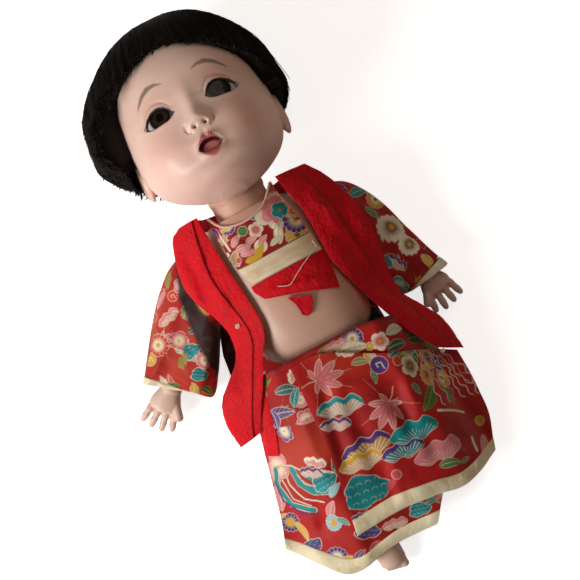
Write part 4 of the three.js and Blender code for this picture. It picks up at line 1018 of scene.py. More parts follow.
# cap: outer rows from crown to ragged edge by a sine to the power 1.25, inner rows on the scalp
def makeHair():
    cols, rows = 220, 90
    crown = hairSettings["crown"]
    angle = np.linspace(0, 2 * np.pi, cols, endpoint=False)[None, :]
    t = np.linspace(0, 1, rows)[:, None]
    fine, coarse = (cloudy(angle * k, 0 * angle, size, seed) - .5 for k, size,
                    seed in ((60, 1.2, 3), (40, 1.0, 5)))
    ragged = 1.6 * fine + 2.4 * ease(-np.cos(angle) * 2 - .8) * coarse
    edge = hairEdge(angle) + ragged
    up = crown + (edge - crown) * np.sin(t * np.pi / 2) ** 1.25
    outer = hairPoint(angle, up)
    combed = 0.45 * (cloudy(np.degrees(angle) * 1.0 + 0 * up, up * 0.06, 2.4, 2) - .5)
    outer = outer + combed[..., None] * np.array([0, 0, 1])
    outer[..., 2] = heldUp(outer[..., 2], 0.3)
    inner = np.stack(headSurface(np.minimum(up / 60, .995), angle, .5, 1), -1)
    inner = headPoint(inner[..., 0], inner[..., 1], inner[..., 2])[::-1]
    rings = np.concatenate([outer, inner])
    shade = mix(np.broadcast_to(colour("17120f"), (rows, cols, 3)), colour("070504"),
                cloudy(np.degrees(angle) * 1.2 + 0 * up, up * .08, 3, 8))
    tint = np.concatenate([shade.reshape(-1, 3), shade[::-1].reshape(-1, 3), [colour("0d0a09")] * 2])
    cap = skinPiece("hair_cap", rings, [headPoint(0, crown + hairSettings["top"], 0), headPoint(0, 59.8, 0)],
                    hairBlack, tint)
    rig.replaces(cap, "hair")
    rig.slot(cap, "hair")
    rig.ride(cap, "head_group")
    makeStrands("hair_strands", hairSettings["strands"], (0.0, 0.92), 0.0)
    makeStrands("hair_ends", hairSettings["ends"], (0.62, 0.97), 1.0)
    makeStrands("hair_locks", hairSettings["locks"], (0.45, 0.9), 1.0, 0.85)


# strands: each keeps near one angle, starts at a share of the way down and runs past the edge, tapering
def makeStrands(name, count, starts, wild, thick=0.0):
    steps = 9
    angle = rng.uniform(0, 2 * np.pi, count)
    if wild:
        ragged = rng.random(count) < 0.62
        angle = np.where(ragged, rng.uniform(np.radians(150), np.radians(285), count), angle)
    right = ease(-np.cos(angle) * 1.6 - .3)
    front = ease((np.sin(angle) - .25) * 3)
    start = rng.uniform(*starts, count)
    past = (np.minimum(rng.gamma(2.0, 0.55, count), 3.2) * (0.8 + (2.6 + 0.9 * wild) * right + 0.4 * wild)
            - 0.4 * front)
    edge = hairEdge(angle) - past
    t = np.linspace(0, 1, steps)[None, :]
    way = start[:, None] + (1 - start[:, None]) * t
    up = 59 + (edge[:, None] - 59) * np.sin(way * np.pi / 2) ** 1.25
    drift = np.clip(rng.normal(0, .035, count), -.06, .06)[:, None] * t
    drift = drift + rng.normal(0, .012, (count, 1)) * np.sin(t * 5 + rng.uniform(0, 6, (count, 1)))
    lift = rng.gamma(1.6, .3, count)[:, None] * (.35 + t)
    loose = right * np.minimum(rng.gamma(1.5, .9 + 0.9 * wild, count), 5)
    lift = lift + loose[:, None] * t ** 2.4
    points = hairPoint(angle[:, None] + drift, up, lift)
    radii = rng.uniform(.14, .3, count)[:, None] * np.array([.5, .9, 1, 1, 1, .95, .8, .5, .12])[None, :]
    lock = np.array([.1, .5, .8, .95, 1, .9, .65, .32, 0])[None, :]
    radii = radii + thick * rng.uniform(.5, 1, count)[:, None] * lock
    points[..., 2] = heldUp(points[..., 2], 0.6)
    tints = mix(np.broadcast_to(colour("0a0706"), (count, 3)), colour("2b211c"), rng.random(count) ** 2.5)
    strands = strandPiece(name, points, radii, 3, hairBlack, tints)
    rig.slot(strands, "hair")
    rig.ride(strands, "head_group")


makeHead()
makeEars()
makeNeck()
makeEyes()
makeHair()
print("head, eyes and hair made")


# outlines and cloth patches, with the same tables as the solid parts

reach = 100.0


# curve through places given as shares of the reach
def outline(shares):
    shares = np.asarray(shares, float) * reach
    steps = np.linspace(0, 1, len(shares))
    return lambda t: np.stack([through(steps, shares[:, k], t) for k in range(shares.shape[1])], -1)


# patch between four outlines: the two ruled surfaces added, less the one between the corners
def patch(edges, u, v):
    left, right, top, foot = (outline(edges[side]) for side in ("left", "right", "top", "foot"))
    a, b, f = u[..., None], v[..., None], np.array([0.0, 1.0])
    corners = [left(f[0]), right(f[0]), left(f[1]), right(f[1])]
    ruled = left(v) * (1 - a) + right(v) * a + top(u) * (1 - b) + foot(u) * b
    return (ruled - (corners[0] * (1 - a) + corners[1] * a) * (1 - b)
            - (corners[2] * (1 - a) + corners[3] * a) * b)


# even shares across and down a patch
def gridShares(rows, cols, low=0.0, high=1.0):
    return np.meshgrid(np.linspace(0, 1, cols), np.linspace(low, high, rows))


# print: traditional motifs painted on the cloth's points

inks = {name: colour(code) for name, code in {
    "red": "b81512", "deepRed": "6e0508", "orange": "cf4420", "pink": "dd8288", "rose": "c84a58",
    "cream": "efe3c6",
    "gold": "d8a728", "brown": "7a4a30", "olive": "8a8a45", "green": "3f7a34", "darkGreen": "1a4f38",
    "teal": "048f92",
    "darkTeal": "05606b", "sky": "8fc4d4", "purple": "54307a", "white": "f2ead8"}.items()}
outlineWidth = 0.45  # painted line round each motif, in millimetres


# share covered: 1 inside a gap below zero, with a soft edge
def fill(gap, soft):
    return np.clip(0.5 - gap / soft, 0, 1)


# motifs: a runs along the motif and b across it, both in half sizes; each returns (cover, colour) layers
def mapleMotif(a, b, soft, first, second):
    turns = np.radians([0, 30, -30, 66, -66, 112, -112])
    lengths = [1.0, 0.96, 0.9, 0.8, 0.74, 0.5, 0.46]
    gap, vein = np.full(a.shape, 9.0), np.full(a.shape, 9.0)
    for turn, length in zip(turns, lengths):
        along, off = a * np.cos(turn) + b * np.sin(turn), b * np.cos(turn) - a * np.sin(turn)
        t = np.clip(along / length, 0, 1)
        half = 0.135 * length * np.sin(np.pi * t ** 1.15) ** 0.7 + 0.015
        lobe = np.where(along < 0, 9.0, np.maximum(np.abs(off) - half, along - length))
        vein = np.where(lobe < gap, np.where(along > 0.06, np.abs(off) - 0.004, 9.0), vein)
        gap = np.minimum(gap, lobe)
    body = mix(np.broadcast_to(inks[first], (*a.shape, 3)), inks["rose"],
               0.35 + 0.4 * ease(1 - np.hypot(a, b) / 0.6))
    stem = strokeGap(a, b, [(0, 0), (-0.3, 0.03), (-0.62, -0.05)], 0.012)
    stamens = np.minimum(strokeGap(a, b, [(0, 0), (-0.3, 0.28)], 0.004),
                         strokeGap(a, b, [(0, 0), (-0.18, 0.36)], 0.004))
    return [(fill(np.minimum(stem, stamens), soft), inks[second]),
            (fill(gap - 0.6 * soft, soft) * 0.9, inks[second]),
            (fill(gap + 0.3 * soft, soft), body), (fill(vein, soft * 0.7) * 0.75, inks[second])]


# pine bough as a long cloud: a solid lobed top, needles fanned out of the foot below it
def pineMotif(a, b, soft, first, second):
    lobes = 0.07 * np.cos(a * 9.5 + 0.6) + 0.05 * np.cos(a * 5.1 + 2)
    top = 0.4 * np.sqrt(np.clip(1 - a * a, 0, 1)) * (1 + 0.25 * a) + lobes * np.sqrt(np.clip(1 - a * a, 0, 1))
    foot = (-0.3 * np.sqrt(np.clip(1 - (a / 0.97) ** 2, 0, 1)) + 0.1 * np.cos(a * 7.3 + 1) * (1 - np.abs(a))
            - 0.04)
    gap = np.where(np.abs(a) > 1, 9.0, np.maximum(b - top, foot - b) * 0.9)
    angle, far = np.arctan2((b + 0.5) * 1.3, a - 0.1), np.hypot(a - 0.1, (b + 0.5) * 1.3)
    needles = np.abs(np.modf(angle * 5.4 + 40)[0] - 0.5) - 0.09
    below = ease((top - 0.2 - b) / 0.06) if first != second else ease((top - 0.3 - b) / 0.1) * 0.8
    light = mix(np.broadcast_to(inks[second], (*a.shape, 3)), inks[first], 0.25)
    reds = 0.35 if second == "cream" else 0.0
    return [(fill(gap - 0.7 * soft, soft) * 0.85, inks["cream"]), (fill(gap + 0.3 * soft, soft), inks[first]),
            (below * fill(gap + 0.5 * soft, soft), mix(light, inks["red"], reds)),
            (below * fill(gap + 0.6 * soft, soft) * fill(needles, 0.11) * ease(far * 3), inks["white"])]


# plum blossom: a rim in five arcs by the cosine of 2.5 times the angle, with stamens
def plumMotif(a, b, soft, first, second):
    angle, far = np.arctan2(b, a), np.hypot(a, b)
    rim = 0.72 + 0.27 * np.abs(np.cos(angle * 2.5)) ** 0.7
    petals = np.broadcast_to(inks[second], (*a.shape, 3))
    petals = mix(petals, inks[first], ease(far * 1.5 - 0.35))
    creases = fill(np.abs(np.sin(angle * 2.5)) * far - 0.03, soft) * fill(0.3 - far, soft)
    stamens = (fill(np.abs(np.modf(angle * 9 / 6.2832 + 9)[0] - 0.5) * far - 0.02, soft)
               * fill(far - 0.4, soft))
    return [(fill(far - rim - 0.7 * soft, soft), inks["white"]), (fill(far - rim, soft), petals),
            (0.5 * creases * fill(far - rim, soft), inks[second]), (stamens, inks["gold"]),
            (fill(far - 0.11, soft), inks["gold"])]


# chrysanthemum: fourteen petals by the cosine of seven times the angle, cut to a span
def daisyMotif(a, b, soft, first, second, span=np.pi):
    angle, far = np.arctan2(b, a), np.hypot(a, b)
    count = 14
    wave = np.abs(np.cos(angle * count / 2))
    gap = np.maximum(far - 0.84 - 0.14 * wave ** 0.6, (np.abs(angle) - span) * 0.6)
    lines = fill(wave * far * 0.4 - 0.03, soft)
    middle = mix(np.broadcast_to(inks[second], (*a.shape, 3)), inks[first], ease(far * 2 - 0.5))
    return [(fill(gap - 0.6 * soft, soft), inks["white"]), (fill(gap, soft), middle),
            (fill(gap, soft) * lines * ease(far * 4 - 0.6) * 0.85, inks["white"]),
            (fill(np.maximum(far - 0.2, gap), soft), inks["gold" if first != "gold" else "brown"])]


# half chrysanthemum: the same within 95 degrees of its axis
def fanMotif(a, b, soft, first, second):
    return daisyMotif(a, b, soft, first, second, np.radians(95))


# leaf: half its width is a sine along it, about a bent midrib, with slanted side veins
def leafMotif(a, b, soft, first, second):
    t = np.clip((a + 1) / 2, 0, 1)
    bent = b - 0.14 * np.sin(np.pi * t)
    half = 0.4 * np.sin(np.pi * t ** 0.85) ** 0.8
    gap = np.where(np.abs(a) > 1, 9.0, np.abs(bent) - half)
    side = np.abs(np.modf((a * 3.2 - np.abs(bent) * 3.4) + 20)[0] - 0.5) - 0.05
    midrib = np.maximum(np.abs(bent) - 0.02, np.abs(a) - 0.92)
    return [(fill(gap - 0.6 * soft, soft), inks[second]), (fill(gap, soft), inks[first]),
            (fill(midrib, soft), inks[second]), (fill(np.maximum(side, gap + 0.05), 0.2) * 0.5, inks[second])]


# bud: a disc with a curl drawn in it
def budMotif(a, b, soft, first, second):
    far = np.hypot(a, b)
    curl = strokeGap(a, b, [(0.55, -0.35), (0.15, 0.3), (-0.35, 0.1), (-0.1, -0.25)], 0.05)
    return [(fill(far - 0.9 - 0.5 * soft, soft), inks["white"]), (fill(far - 0.9, soft), inks[first]),
            (fill(curl, soft), inks[second])]


# cloud-shaped patch with a few light half rings
def patchMotif(a, b, soft, first, second):
    angle, far = np.arctan2(b / 0.72, a), np.hypot(a, b / 0.72)
    gap = far - 0.86 - 0.1 * np.cos(angle * 3 + 0.7) - 0.04 * np.cos(angle * 7)
    scale = 0.34
    row = np.round(b / scale)
    nearest = (np.round(a / scale + 0.5 * (row % 2)) - 0.5 * (row % 2)) * scale
    away = np.hypot(a - nearest, b - row * scale + 0.06)
    rings = np.where(b > row * scale - 0.06, np.abs(away - scale * 0.3) - 0.008, 9.0)
    deep = mix(np.broadcast_to(inks[first], (*a.shape, 3)), inks["darkTeal"], 0.5 * ease(b * 1.4 + 0.6))
    return [(fill(gap - 0.8 * soft, soft), inks["white"]), (fill(gap + 0.2 * soft, soft), deep),
            (fill(gap + soft, soft) * fill(rings, soft * 0.9) * 0.7, inks[second])]


# breaking wave: nested crescents of white and ink, thin lines below
def waveMotif(a, b, soft, first, second):
    far = np.hypot(a - 0.12, b - 0.3)
    angle = np.arctan2(b - 0.3, a - 0.12)
    gap = np.maximum(np.hypot(a, b) - 0.93 - 0.05 * np.sin(angle * 6), b - 0.62 - 0.2 * np.sin(a * 5))
    bands = np.abs(np.modf(far * 2.7 + 0.09 * np.sin(angle * 3) + 9.1)[0] - 0.5) - 0.2
    fine = np.abs(np.modf(far * 8.1 + 9)[0] - 0.5) - 0.1
    return [(fill(gap - 0.7 * soft, soft), inks["white"]), (fill(gap + 0.3 * soft, soft), inks[first]),
            (fill(gap + 0.3 * soft, soft) * fill(bands, 0.08), inks[second]),
            (fill(gap + 0.3 * soft, soft) * ease((far - 0.75) * 6) * fill(fine, 0.2) * 0.8, inks["purple"])]


# cord: a stroke along a line, with a darker edge
def cordStroke(x, y, line, width, ink):
    gap = strokeGap(x, y, line, width / 2)
    return [(fill(gap - outlineWidth * 0.5, 0.4), inks["deepRed"]), (fill(gap, 0.4), inks[ink])]


# squiggling tassel cord: a wavy band about the line
def chainStroke(x, y, line, width, ink):
    line = np.asarray(line, float)
    ahead = np.gradient(line, axis=0)
    ahead /= np.linalg.norm(ahead, axis=1, keepdims=True)
    t = np.linspace(0, len(line) - 1, len(line) * 6)
    fine = np.stack([np.interp(t, np.arange(len(line)), line[:, k]) for k in (0, 1)], -1)
    aside = np.stack([np.interp(t, np.arange(len(line)), ahead[:, k]) for k in (1, 0)], -1) * [-1, 1]
    wavy = fine + aside * (1.3 * np.sin(t * 5.2))[:, None]
    gap = strokeGap(x, y, wavy, width / 2)
    return [(fill(gap - outlineWidth * 0.6, 0.4), inks["rose"]), (fill(gap, 0.4), inks[ink])]


motifMakers = {"maple": mapleMotif, "pine": pineMotif, "plum": plumMotif, "daisy": daisyMotif,
               "fan": fanMotif, "leaf": leafMotif,
               "bud": budMotif, "patch": patchMotif, "wave": waveMotif, "cord": cordStroke,
               "chain": chainStroke}


# paints motifs over the ground colour; x, y are places seen from above, and flat the unrolled ones
def paintPrint(x, y, paint, motifs, flat=None):
    paint = paint.copy()
    flatX, flatY = (x, y) if flat is None else flat
    unrolled = lambda px, py: (flatX.flat[k := np.argmin((x - px) ** 2 + (y - py) ** 2)], flatY.flat[k])
    for kind, *facts in motifs:
        maker = motifMakers[kind]
        if kind in ("cord", "chain"):
            line, width, ink = facts
            line = np.array([unrolled(*spot) for spot in line])
            low, high = line.min(0) - width - 2, line.max(0) + width + 2
            near = (flatX > low[0]) & (flatX < high[0]) & (flatY > low[1]) & (flatY < high[1])
            if near.any():
                layers = maker(flatX[near], flatY[near], line, width, ink)
        else:
            cx, cy, half, turn, first, second = facts
            cx, cy = unrolled(cx, cy)
            near = np.hypot(flatX - cx, flatY - cy) < half * 1.25 + 1
            if near.any():
                c, s = math.cos(math.radians(turn)), math.sin(math.radians(turn))
                dx, dy = (flatX[near] - cx) / half, (flatY[near] - cy) / half
                layers = maker(dx * c + dy * s, dy * c - dx * s, outlineWidth / half, first, second)
        if not near.any():
            continue
        spot = paint[near]
        for cover, ink in layers:
            spot = mix(spot, ink, cover)
        paint[near] = spot
    return paint


# x unrolled along each row of a cloth: length along the row from where it crosses the middle
def unrolledX(x, z, middle):
    length = np.concatenate([np.zeros((len(x), 1)),
                             np.cumsum(np.hypot(np.diff(x, axis=1), np.diff(z, axis=1)), axis=1)], 1)
    centre = np.argmin(np.abs(x - middle), axis=1)[:, None]
    return np.take_along_axis(x, centre, 1) + length - np.take_along_axis(length, centre, 1)


# red ground: two reds and an orange mixed by slow noise
def redGround(x, y, seed=0):
    ground = np.broadcast_to(inks["red"], (*x.shape, 3))
    ground = mix(ground, inks["deepRed"], 0.45 * ease(cloudy(x, y, 34, seed) * 2.2 - 0.7))
    return mix(ground, inks["orange"], 0.5 * ease(cloudy(x + 90, y, 46, seed + 1) * 2.4 - 1.1))


# motifs strewn at random where the photograph shows nothing
def strewn(low, high, count, seed, sizes=(6, 13)):
    own = np.random.default_rng(seed)
    kinds = ["pine", "maple", "daisy", "leaf", "leaf", "plum", "patch", "bud"]
    pairs = [("teal", "cream"), ("purple", "cream"), ("pink", "cream"), ("gold", "cream"), ("green", "gold"),
             ("rose", "cream"), ("cream", "rose")]
    spots = []
    cells = int(math.ceil(math.sqrt(count)))
    for i in range(cells):
        for j in range(cells):
            x = low[0] + (high[0] - low[0]) * (i + own.uniform(0.15, 0.85)) / cells
            y = low[1] + (high[1] - low[1]) * (j + own.uniform(0.15, 0.85)) / cells
            pair = pairs[own.integers(len(pairs))]
            spots.append((kinds[own.integers(len(kinds))], x, y, own.uniform(*sizes),
                          own.uniform(0, 360), *pair))
    return spots


overPrint = [
    ('maple', -8.2, -60.7, 18.0, -7, 'pink', 'cream'),
    ('maple', 27.2, -95.7, 18.4, -137, 'pink', 'cream'),
    ('pine', -2.9, -83.1, 16.2, -13, 'teal', 'cream'),
    ('pine', -10.8, -92.2, 11.0, -19, 'purple', 'cream'),
    ('pine', 0.5, -115.9, 18.4, -3, 'purple', 'gold'),
    ('pine', -6.8, -122.9, 15.8, -7, 'gold', 'cream'),
    ('pine', 21.6, -128.7, 15.5, -7, 'purple', 'teal'),
    ('pine', 33.4, -120.4, 18.0, -7, 'teal', 'teal'),
    ('pine', 42.9, -142.0, 19.1, -7, 'pink', 'pink'),
    ('leaf', 46.1, -153.1, 8.1, -17, 'green', 'cream'),
    ('cord', [(54.4, -116.0), (71.3, -128.4)], 1.9, 'cream'),
    ('leaf', 22.4, -62.8, 6.3, -17, 'olive', 'cream'),
    ('leaf', 26.1, -75.7, 4.8, -97, 'green', 'cream'),
    ('bud', 32.5, -70.0, 6.6, -27, 'purple', 'cream'),
    ('bud', 44.7, -73.3, 3.7, -27, 'orange', 'red'),
    ('leaf', 47.9, -63.9, 6.6, 3, 'darkTeal', 'cream'),
    ('leaf', 55.2, -72.1, 6.3, -17, 'teal', 'cream'),
    ('leaf', 47.6, -95.9, 5.2, -67, 'green', 'cream'),
    ('leaf', 52.8, -104.9, 11.4, -145, 'green', 'gold'),
    ('leaf', 66.2, -110.9, 10.3, -92, 'green', 'gold'),
    ('daisy', 65.1, -82.4, 9.2, -27, 'gold', 'purple'),
    ('daisy', 67.9, -100.3, 7.4, -7, 'gold', 'cream'),
    ('daisy', 59.0, -92.0, 7.7, -17, 'gold', 'orange'),
    ('bud', 70.3, -90.0, 6.3, -27, 'purple', 'cream'),
    ('plum', 50.9, -80.5, 7.7, -27, 'cream', 'brown'),
    ('cord', [(68.2, -146.0), (67.3, -155.9)], 2.2, 'cream'),
    ('bud', 78.5, -140.0, 4.0, -27, 'gold', 'orange'),
    ('patch', -12.8, -142.8, 18.4, -7, 'teal', 'cream'),
    ('pine', -23.4, -158.7, 8.1, -12, 'purple', 'cream'),
    ('leaf', 5.2, -147.0, 5.5, 33, 'rose', 'orange'),
    ('leaf', 57.0, -157.0, 4.0, 3, 'green', 'cream'),
    ('bud', 10.1, -141.3, 3.7, -27, 'rose', 'orange'),
]
underPrint = [
    ('cord', [(-61.7, -105.2), (-65.8, -118.0), (-62.9, -131.8), (-50.4, -141.1)], 4.6, 'cream'),
    ('cord', [(-61.7, -105.2), (-65.8, -118.0), (-62.9, -131.8), (-50.4, -141.1)], 3.0, 'teal'),
    ('cord', [(-55.8, -105.8), (-57.4, -118.5), (-52.6, -130.9), (-41.3, -137.8)], 1.0, 'cream'),
    ('cord', [(-50.9, -108.3), (-50.0, -118.6), (-43.7, -128.0), (-32.9, -131.0)], 6.2, 'cream'),
    ('cord', [(-50.9, -108.3), (-50.0, -118.6), (-43.7, -128.0), (-32.9, -131.0)], 5.0, 'teal'),
    ('cord', [(-43.1, -114.7), (-38.7, -120.7), (-28.8, -122.0)], 6.0, 'teal'),
    ('cord', [(-57.3, -103.8), (-49.9, -106.3), (-43.3, -112.7), (-33.3, -114.8), (-26.2, -120.4)],
     1.0, 'cream'),
    ('cord', [(-60.8, -113.1), (-59.9, -128.4), (-50.4, -137.2)], 0.8, 'cream'),
    ('cord', [(-66.1, -112.9), (-66.8, -127.3), (-59.4, -139.5), (-49.4, -144.1)], 0.9, 'purple'),
    ('cord', [(-49.5, -112.7), (-47.6, -121.1), (-39.3, -126.6)], 0.7, 'cream'),
    ('patch', -35.7, -123.6, 11.0, 8, 'teal', 'cream'),
    ('leaf', -30.6, -132.1, 6.3, 33, 'sky', 'cream'),
    ('pine', -40.5, -114.5, 9.9, -19, 'purple', 'cream'),
    ('pine', -34.5, -108.8, 8.5, -32, 'cream', 'rose'),
    ('leaf', -39.1, -144.9, 8.1, 53, 'pink', 'cream'),
    ('daisy', -42.3, -154.3, 6.3, -27, 'sky', 'gold'),
    ('leaf', -36.2, -156.1, 5.2, -47, 'teal', 'cream'),
    ('daisy', -70.0, -144.0, 7.4, -27, 'purple', 'gold'),
    ('leaf', -65.3, -153.2, 8.1, -77, 'gold', 'cream'),
    ('leaf', -73.5, -138.0, 4.0, 13, 'gold', 'cream'),
    ('daisy', -53.2, -179.7, 8.1, -27, 'purple', 'cream'),
    ('leaf', -47.7, -185.7, 5.5, 13, 'gold', 'cream'),
    ('leaf', -36.9, -183.2, 6.3, 28, 'purple', 'cream'),
    ('patch', 13.6, -172.2, 8.5, -12, 'teal', 'cream'),
    ('pine', -5.9, -174.1, 9.2, -12, 'pink', 'cream'),
    ('leaf', -23.8, -182.4, 5.5, 3, 'rose', 'cream'),
    ('leaf', 23.5, -170.9, 4.8, -7, 'teal', 'cream'),
    ('daisy', 24.6, -46.2, 7.4, -27, 'purple', 'cream'),
    ('leaf', 20.3, -53.3, 12.1, -9, 'cream', 'olive'),
    ('plum', 40.2, -56.2, 6.3, -27, 'cream', 'rose'),
    ('leaf', 52.4, -55.1, 9.2, -7, 'cream', 'olive'),
    ('leaf', 49.5, -64.7, 8.8, -7, 'darkGreen', 'cream'),
    ('leaf', 6.1, -46.9, 8.1, 3, 'olive', 'gold'),
    ('pine', 12.6, -45.8, 8.1, -7, 'pink', 'cream'),
    ('leaf', 62.6, -67.4, 10.3, -17, 'darkGreen', 'gold'),
    ('bud', 32.7, -56.4, 2.9, -27, 'gold', 'cream'),
]
foldPrint = [
    ('leaf', -40.0, -47.1, 9.6, 28, 'green', 'gold'),
    ('leaf', -28.8, -57.5, 8.1, -17, 'darkTeal', 'cream'),
    ('leaf', -25.2, -64.3, 7.0, 53, 'teal', 'cream'),
    ('leaf', -40.2, -70.9, 10.3, -7, 'purple', 'cream'),
    ('leaf', -45.9, -72.5, 7.4, -97, 'purple', 'cream'),
    ('plum', -25.6, -82.9, 6.6, -27, 'rose', 'cream'),
    ('leaf', -11.1, -48.7, 5.2, 53, 'purple', 'cream'),
    ('leaf', -47.7, -57.3, 4.4, -27, 'orange', 'gold'),
]
bibPrint = [
    ('plum', 17.2, 51.6, 13.3, -27, 'cream', 'pink'),
    ('plum', 17.7, 51.4, 9.9, -17, 'pink', 'pink'),
    ('plum', 20.8, 49.3, 6.0, -27, 'teal', 'teal'),
    ('leaf', 1.6, 44.5, 0.1, -27, 'red', 'red'),
    ('leaf', -7.9, 47.7, 4.8, 33, 'green', 'olive'),
    ('bud', -7.0, 47.9, 3.4, -27, 'green', 'olive'),
    ('leaf', -14.0, 44.1, 4.8, 33, 'pink', 'cream'),
    ('leaf', -12.4, 37.3, 5.4, -7, 'pink', 'cream'),
    ('leaf', -4.8, 39.8, 4.8, 13, 'pink', 'cream'),
    ('leaf', -10.4, 33.4, 5.4, -12, 'pink', 'cream'),
    ('leaf', 1.7, 36.2, 4.8, 33, 'pink', 'cream'),
    ('leaf', -3.2, 30.2, 6.2, 43, 'gold', 'gold'),
    ('leaf', -9.0, 27.6, 5.7, -17, 'gold', 'gold'),
    ('cord', [(-22.4, 56.7), (-20.3, 40.5)], 1.5, 'cream'),
    ('leaf', -16.7, 53.8, 3.7, -7, 'gold', 'cream'),
    ('leaf', -28.7, 55.2, 4.8, -67, 'purple', 'pink'),
    ('leaf', 14.2, 36.4, 7.7, 63, 'cream', 'olive'),
    ('leaf', 9.3, 32.3, 4.8, 13, 'cream', 'olive'),
    ('daisy', 23.7, 30.0, 8.2, -27, 'gold', 'gold'),
    ('fan', 27.2, 39.4, 9.1, -127, 'purple', 'cream'),
    ('bud', 31.8, 45.3, 4.3, -27, 'gold', 'gold'),
    ('bud', 39.1, 47.7, 2.8, -27, 'rose', 'cream'),
    ('maple', 20.8, 64.9, 7.1, 33, 'rose', 'pink'),
    ('bud', -18.1, 32.2, 2.0, -27, 'rose', 'pink'),
    ('bud', -24.4, 38.6, 1.4, -27, 'cream', 'pink'),
]
sleevePrintRight = [
    ('maple', -79.8, 36.8, 10, -40, 'orange', 'cream'),
    ('pine', -78.6, -5.8, 11, -60, 'teal', 'cream'),
    ('maple', -91.6, 7.7, 9, 20, 'pink', 'cream'),
    ('leaf', -66.7, 43.1, 7, 60, 'olive', 'gold'),
    ('patch', -77.8, -23.7, 7, -30, 'teal', 'cream'),
    ('leaf', -79.4, -35.9, 6, -60, 'darkGreen', 'gold'),
    ('plum', -91.3, 23.7, 9, -27, 'orange', 'pink'),
    ('pine', -79.0, 20.6, 9, 13, 'pink', 'cream'),
    ('daisy', -94.0, 7.4, 8, -17, 'orange', 'cream'),
    ('patch', -76.8, -6.3, 8, 3, 'teal', 'cream'),
    ('plum', -80.1, 3.7, 6.5, -27, 'rose', 'cream'),
    ('leaf', -65.2, 19.7, 7, 43, 'olive', 'cream'),
    ('bud', -69.5, 32.4, 4, -27, 'orange', 'cream'),
    ('leaf', -78.1, 33.8, 7, 33, 'pink', 'cream'),
    ('leaf', -83.1, -10.9, 6, 43, 'olive', 'gold'),
    ('daisy', -70.2, -16.2, 6, -27, 'pink', 'cream'),
    ('bud', -103.8, 0.8, 5, -27, 'gold', 'cream'),
    ('leaf', -65.7, 4.7, 6, -7, 'darkGreen', 'cream'),
    ('plum', -60.3, 35.3, 6, -27, 'pink', 'cream'),
]
sleevePrintLeft = [
    ('leaf', 74.1, 37.5, 8, 3, 'teal', 'cream'),
    ('patch', 81.3, 38.4, 6, -7, 'darkTeal', 'cream'),
    ('daisy', 83.0, 28.5, 7, -27, 'gold', 'cream'),
    ('leaf', 75.7, 21.6, 6, -67, 'green', 'cream'),
    ('daisy', 83.8, 7.2, 11, -27, 'cream', 'brown'),
    ('leaf', 97.1, 14.1, 8, -57, 'rose', 'cream'),
    ('bud', 97.7, -12.5, 4.5, -27, 'red', 'orange'),
    ('daisy', 89.5, -9.1, 8, -27, 'cream', 'brown'),
    ('pine', 75.7, -15.7, 9, -62, 'purple', 'cream'),
    ('patch', 69.7, -12.7, 6, -57, 'teal', 'cream'),
    ('leaf', 95.3, -25.7, 7, -77, 'gold', 'cream'),
    ('maple', 93.2, 36.8, 8, -47, 'pink', 'cream'),
    ('pine', 105.9, -6.8, 8, -67, 'pink', 'cream'),
    ('leaf', 100.6, 28.7, 7, -87, 'olive', 'cream'),
]


# tassel cords down the over panel's right side: squiggling lines side by side, and small orange dots
for k in range(8):
    startX, startY = 59.5 + 2.1 * k, -69.5 - 1.55 * k
    bow = [(startX + 0.6 * k * t + 1.1 * math.sin(t * 2.4 + k * 1.7), startY - 7.6 * t)
           for t in range(7 - (k > 5))]
    overPrint.append(("chain", bow, 0.75, "cream" if k % 4 != 2 else "pink"))
overPrint += [("bud", 74.0 + 3.1 * k, -92.0 - 6.5 * k, 1.2, 0, "orange", "gold") for k in range(4)]


# clothes

silk, crepe = 1.4, 2.6
lapShares = {"place": [-2, -1.85, -1.65, -1.4, -1.12, -0.85, -0.62, -0.46, -0.39],
             "height": [0.17, 0.24, 0.32, 0.42, 0.51, 0.545, 0.6, 0.67, 0.69],
             "middle": 0.06, "flat": 0.34, "fall": 0.5, "edge": 0.05}
foldHeight = 2.2
foldShares = [
    [0.02, -0.5, 0.2, -1.75, 0.055, 1], [0.55, -0.62, 0.66, -1.6, 0.045, 1],
    [0.72, -0.75, 0.8, -1.5, 0.035, -0.8],
    [-0.2, -0.6, -0.34, -1.9, 0.05, 0.8], [-0.48, -0.6, -0.62, -1.7, 0.045, 1],
    [0.3, -0.55, 0.44, -1.7, 0.05, -0.8]]


# main folds: a bell across each line, growing along it
def folds(x, y):
    total = 0
    for ax, ay, bx, by, spread, height in foldShares:
        dx, dy = bx - ax, by - ay
        px, py = x / reach - ax, y / reach - ay
        size = math.hypot(dx, dy)
        away = (px * dy - py * dx) / size
        along = np.clip((px * dx + py * dy) / size ** 2, 0, 1)
        total = total + height * bell(away / spread) * (0.35 + 0.65 * along)
    return total * foldHeight


# height of the lap: a profile from waist to hem, eased down to the floor at either side
def lap(x, y):
    drop = ease((np.abs(x / reach - lapShares["middle"]) - lapShares["flat"]) / lapShares["fall"])
    high = through(lapShares["place"], lapShares["height"], y / reach)
    edge = np.minimum(lapShares["edge"] + 0.04 * (1 + np.sin(y / reach * 9)), high)
    return (high + (edge - high) * drop) * reach + folds(x, y)


# crease: a soft ridge on one side of a line and a hollow on the other, fading at its ends
def creases(x, y, lines):
    total = 0
    for ax, ay, bx, by, spread, height in lines:
        dx, dy = bx - ax, by - ay
        size = math.hypot(dx, dy)
        along = ((x - ax) * dx + (y - ay) * dy) / size ** 2
        away = ((x - ax) * dy - (y - ay) * dx) / size / spread
        ends = ease(along * 4) * ease((1 - along) * 4) * (along > 0) * (along < 1)
        total = total + height * away * np.exp(0.5 - away * away / 2) * ends
    return total


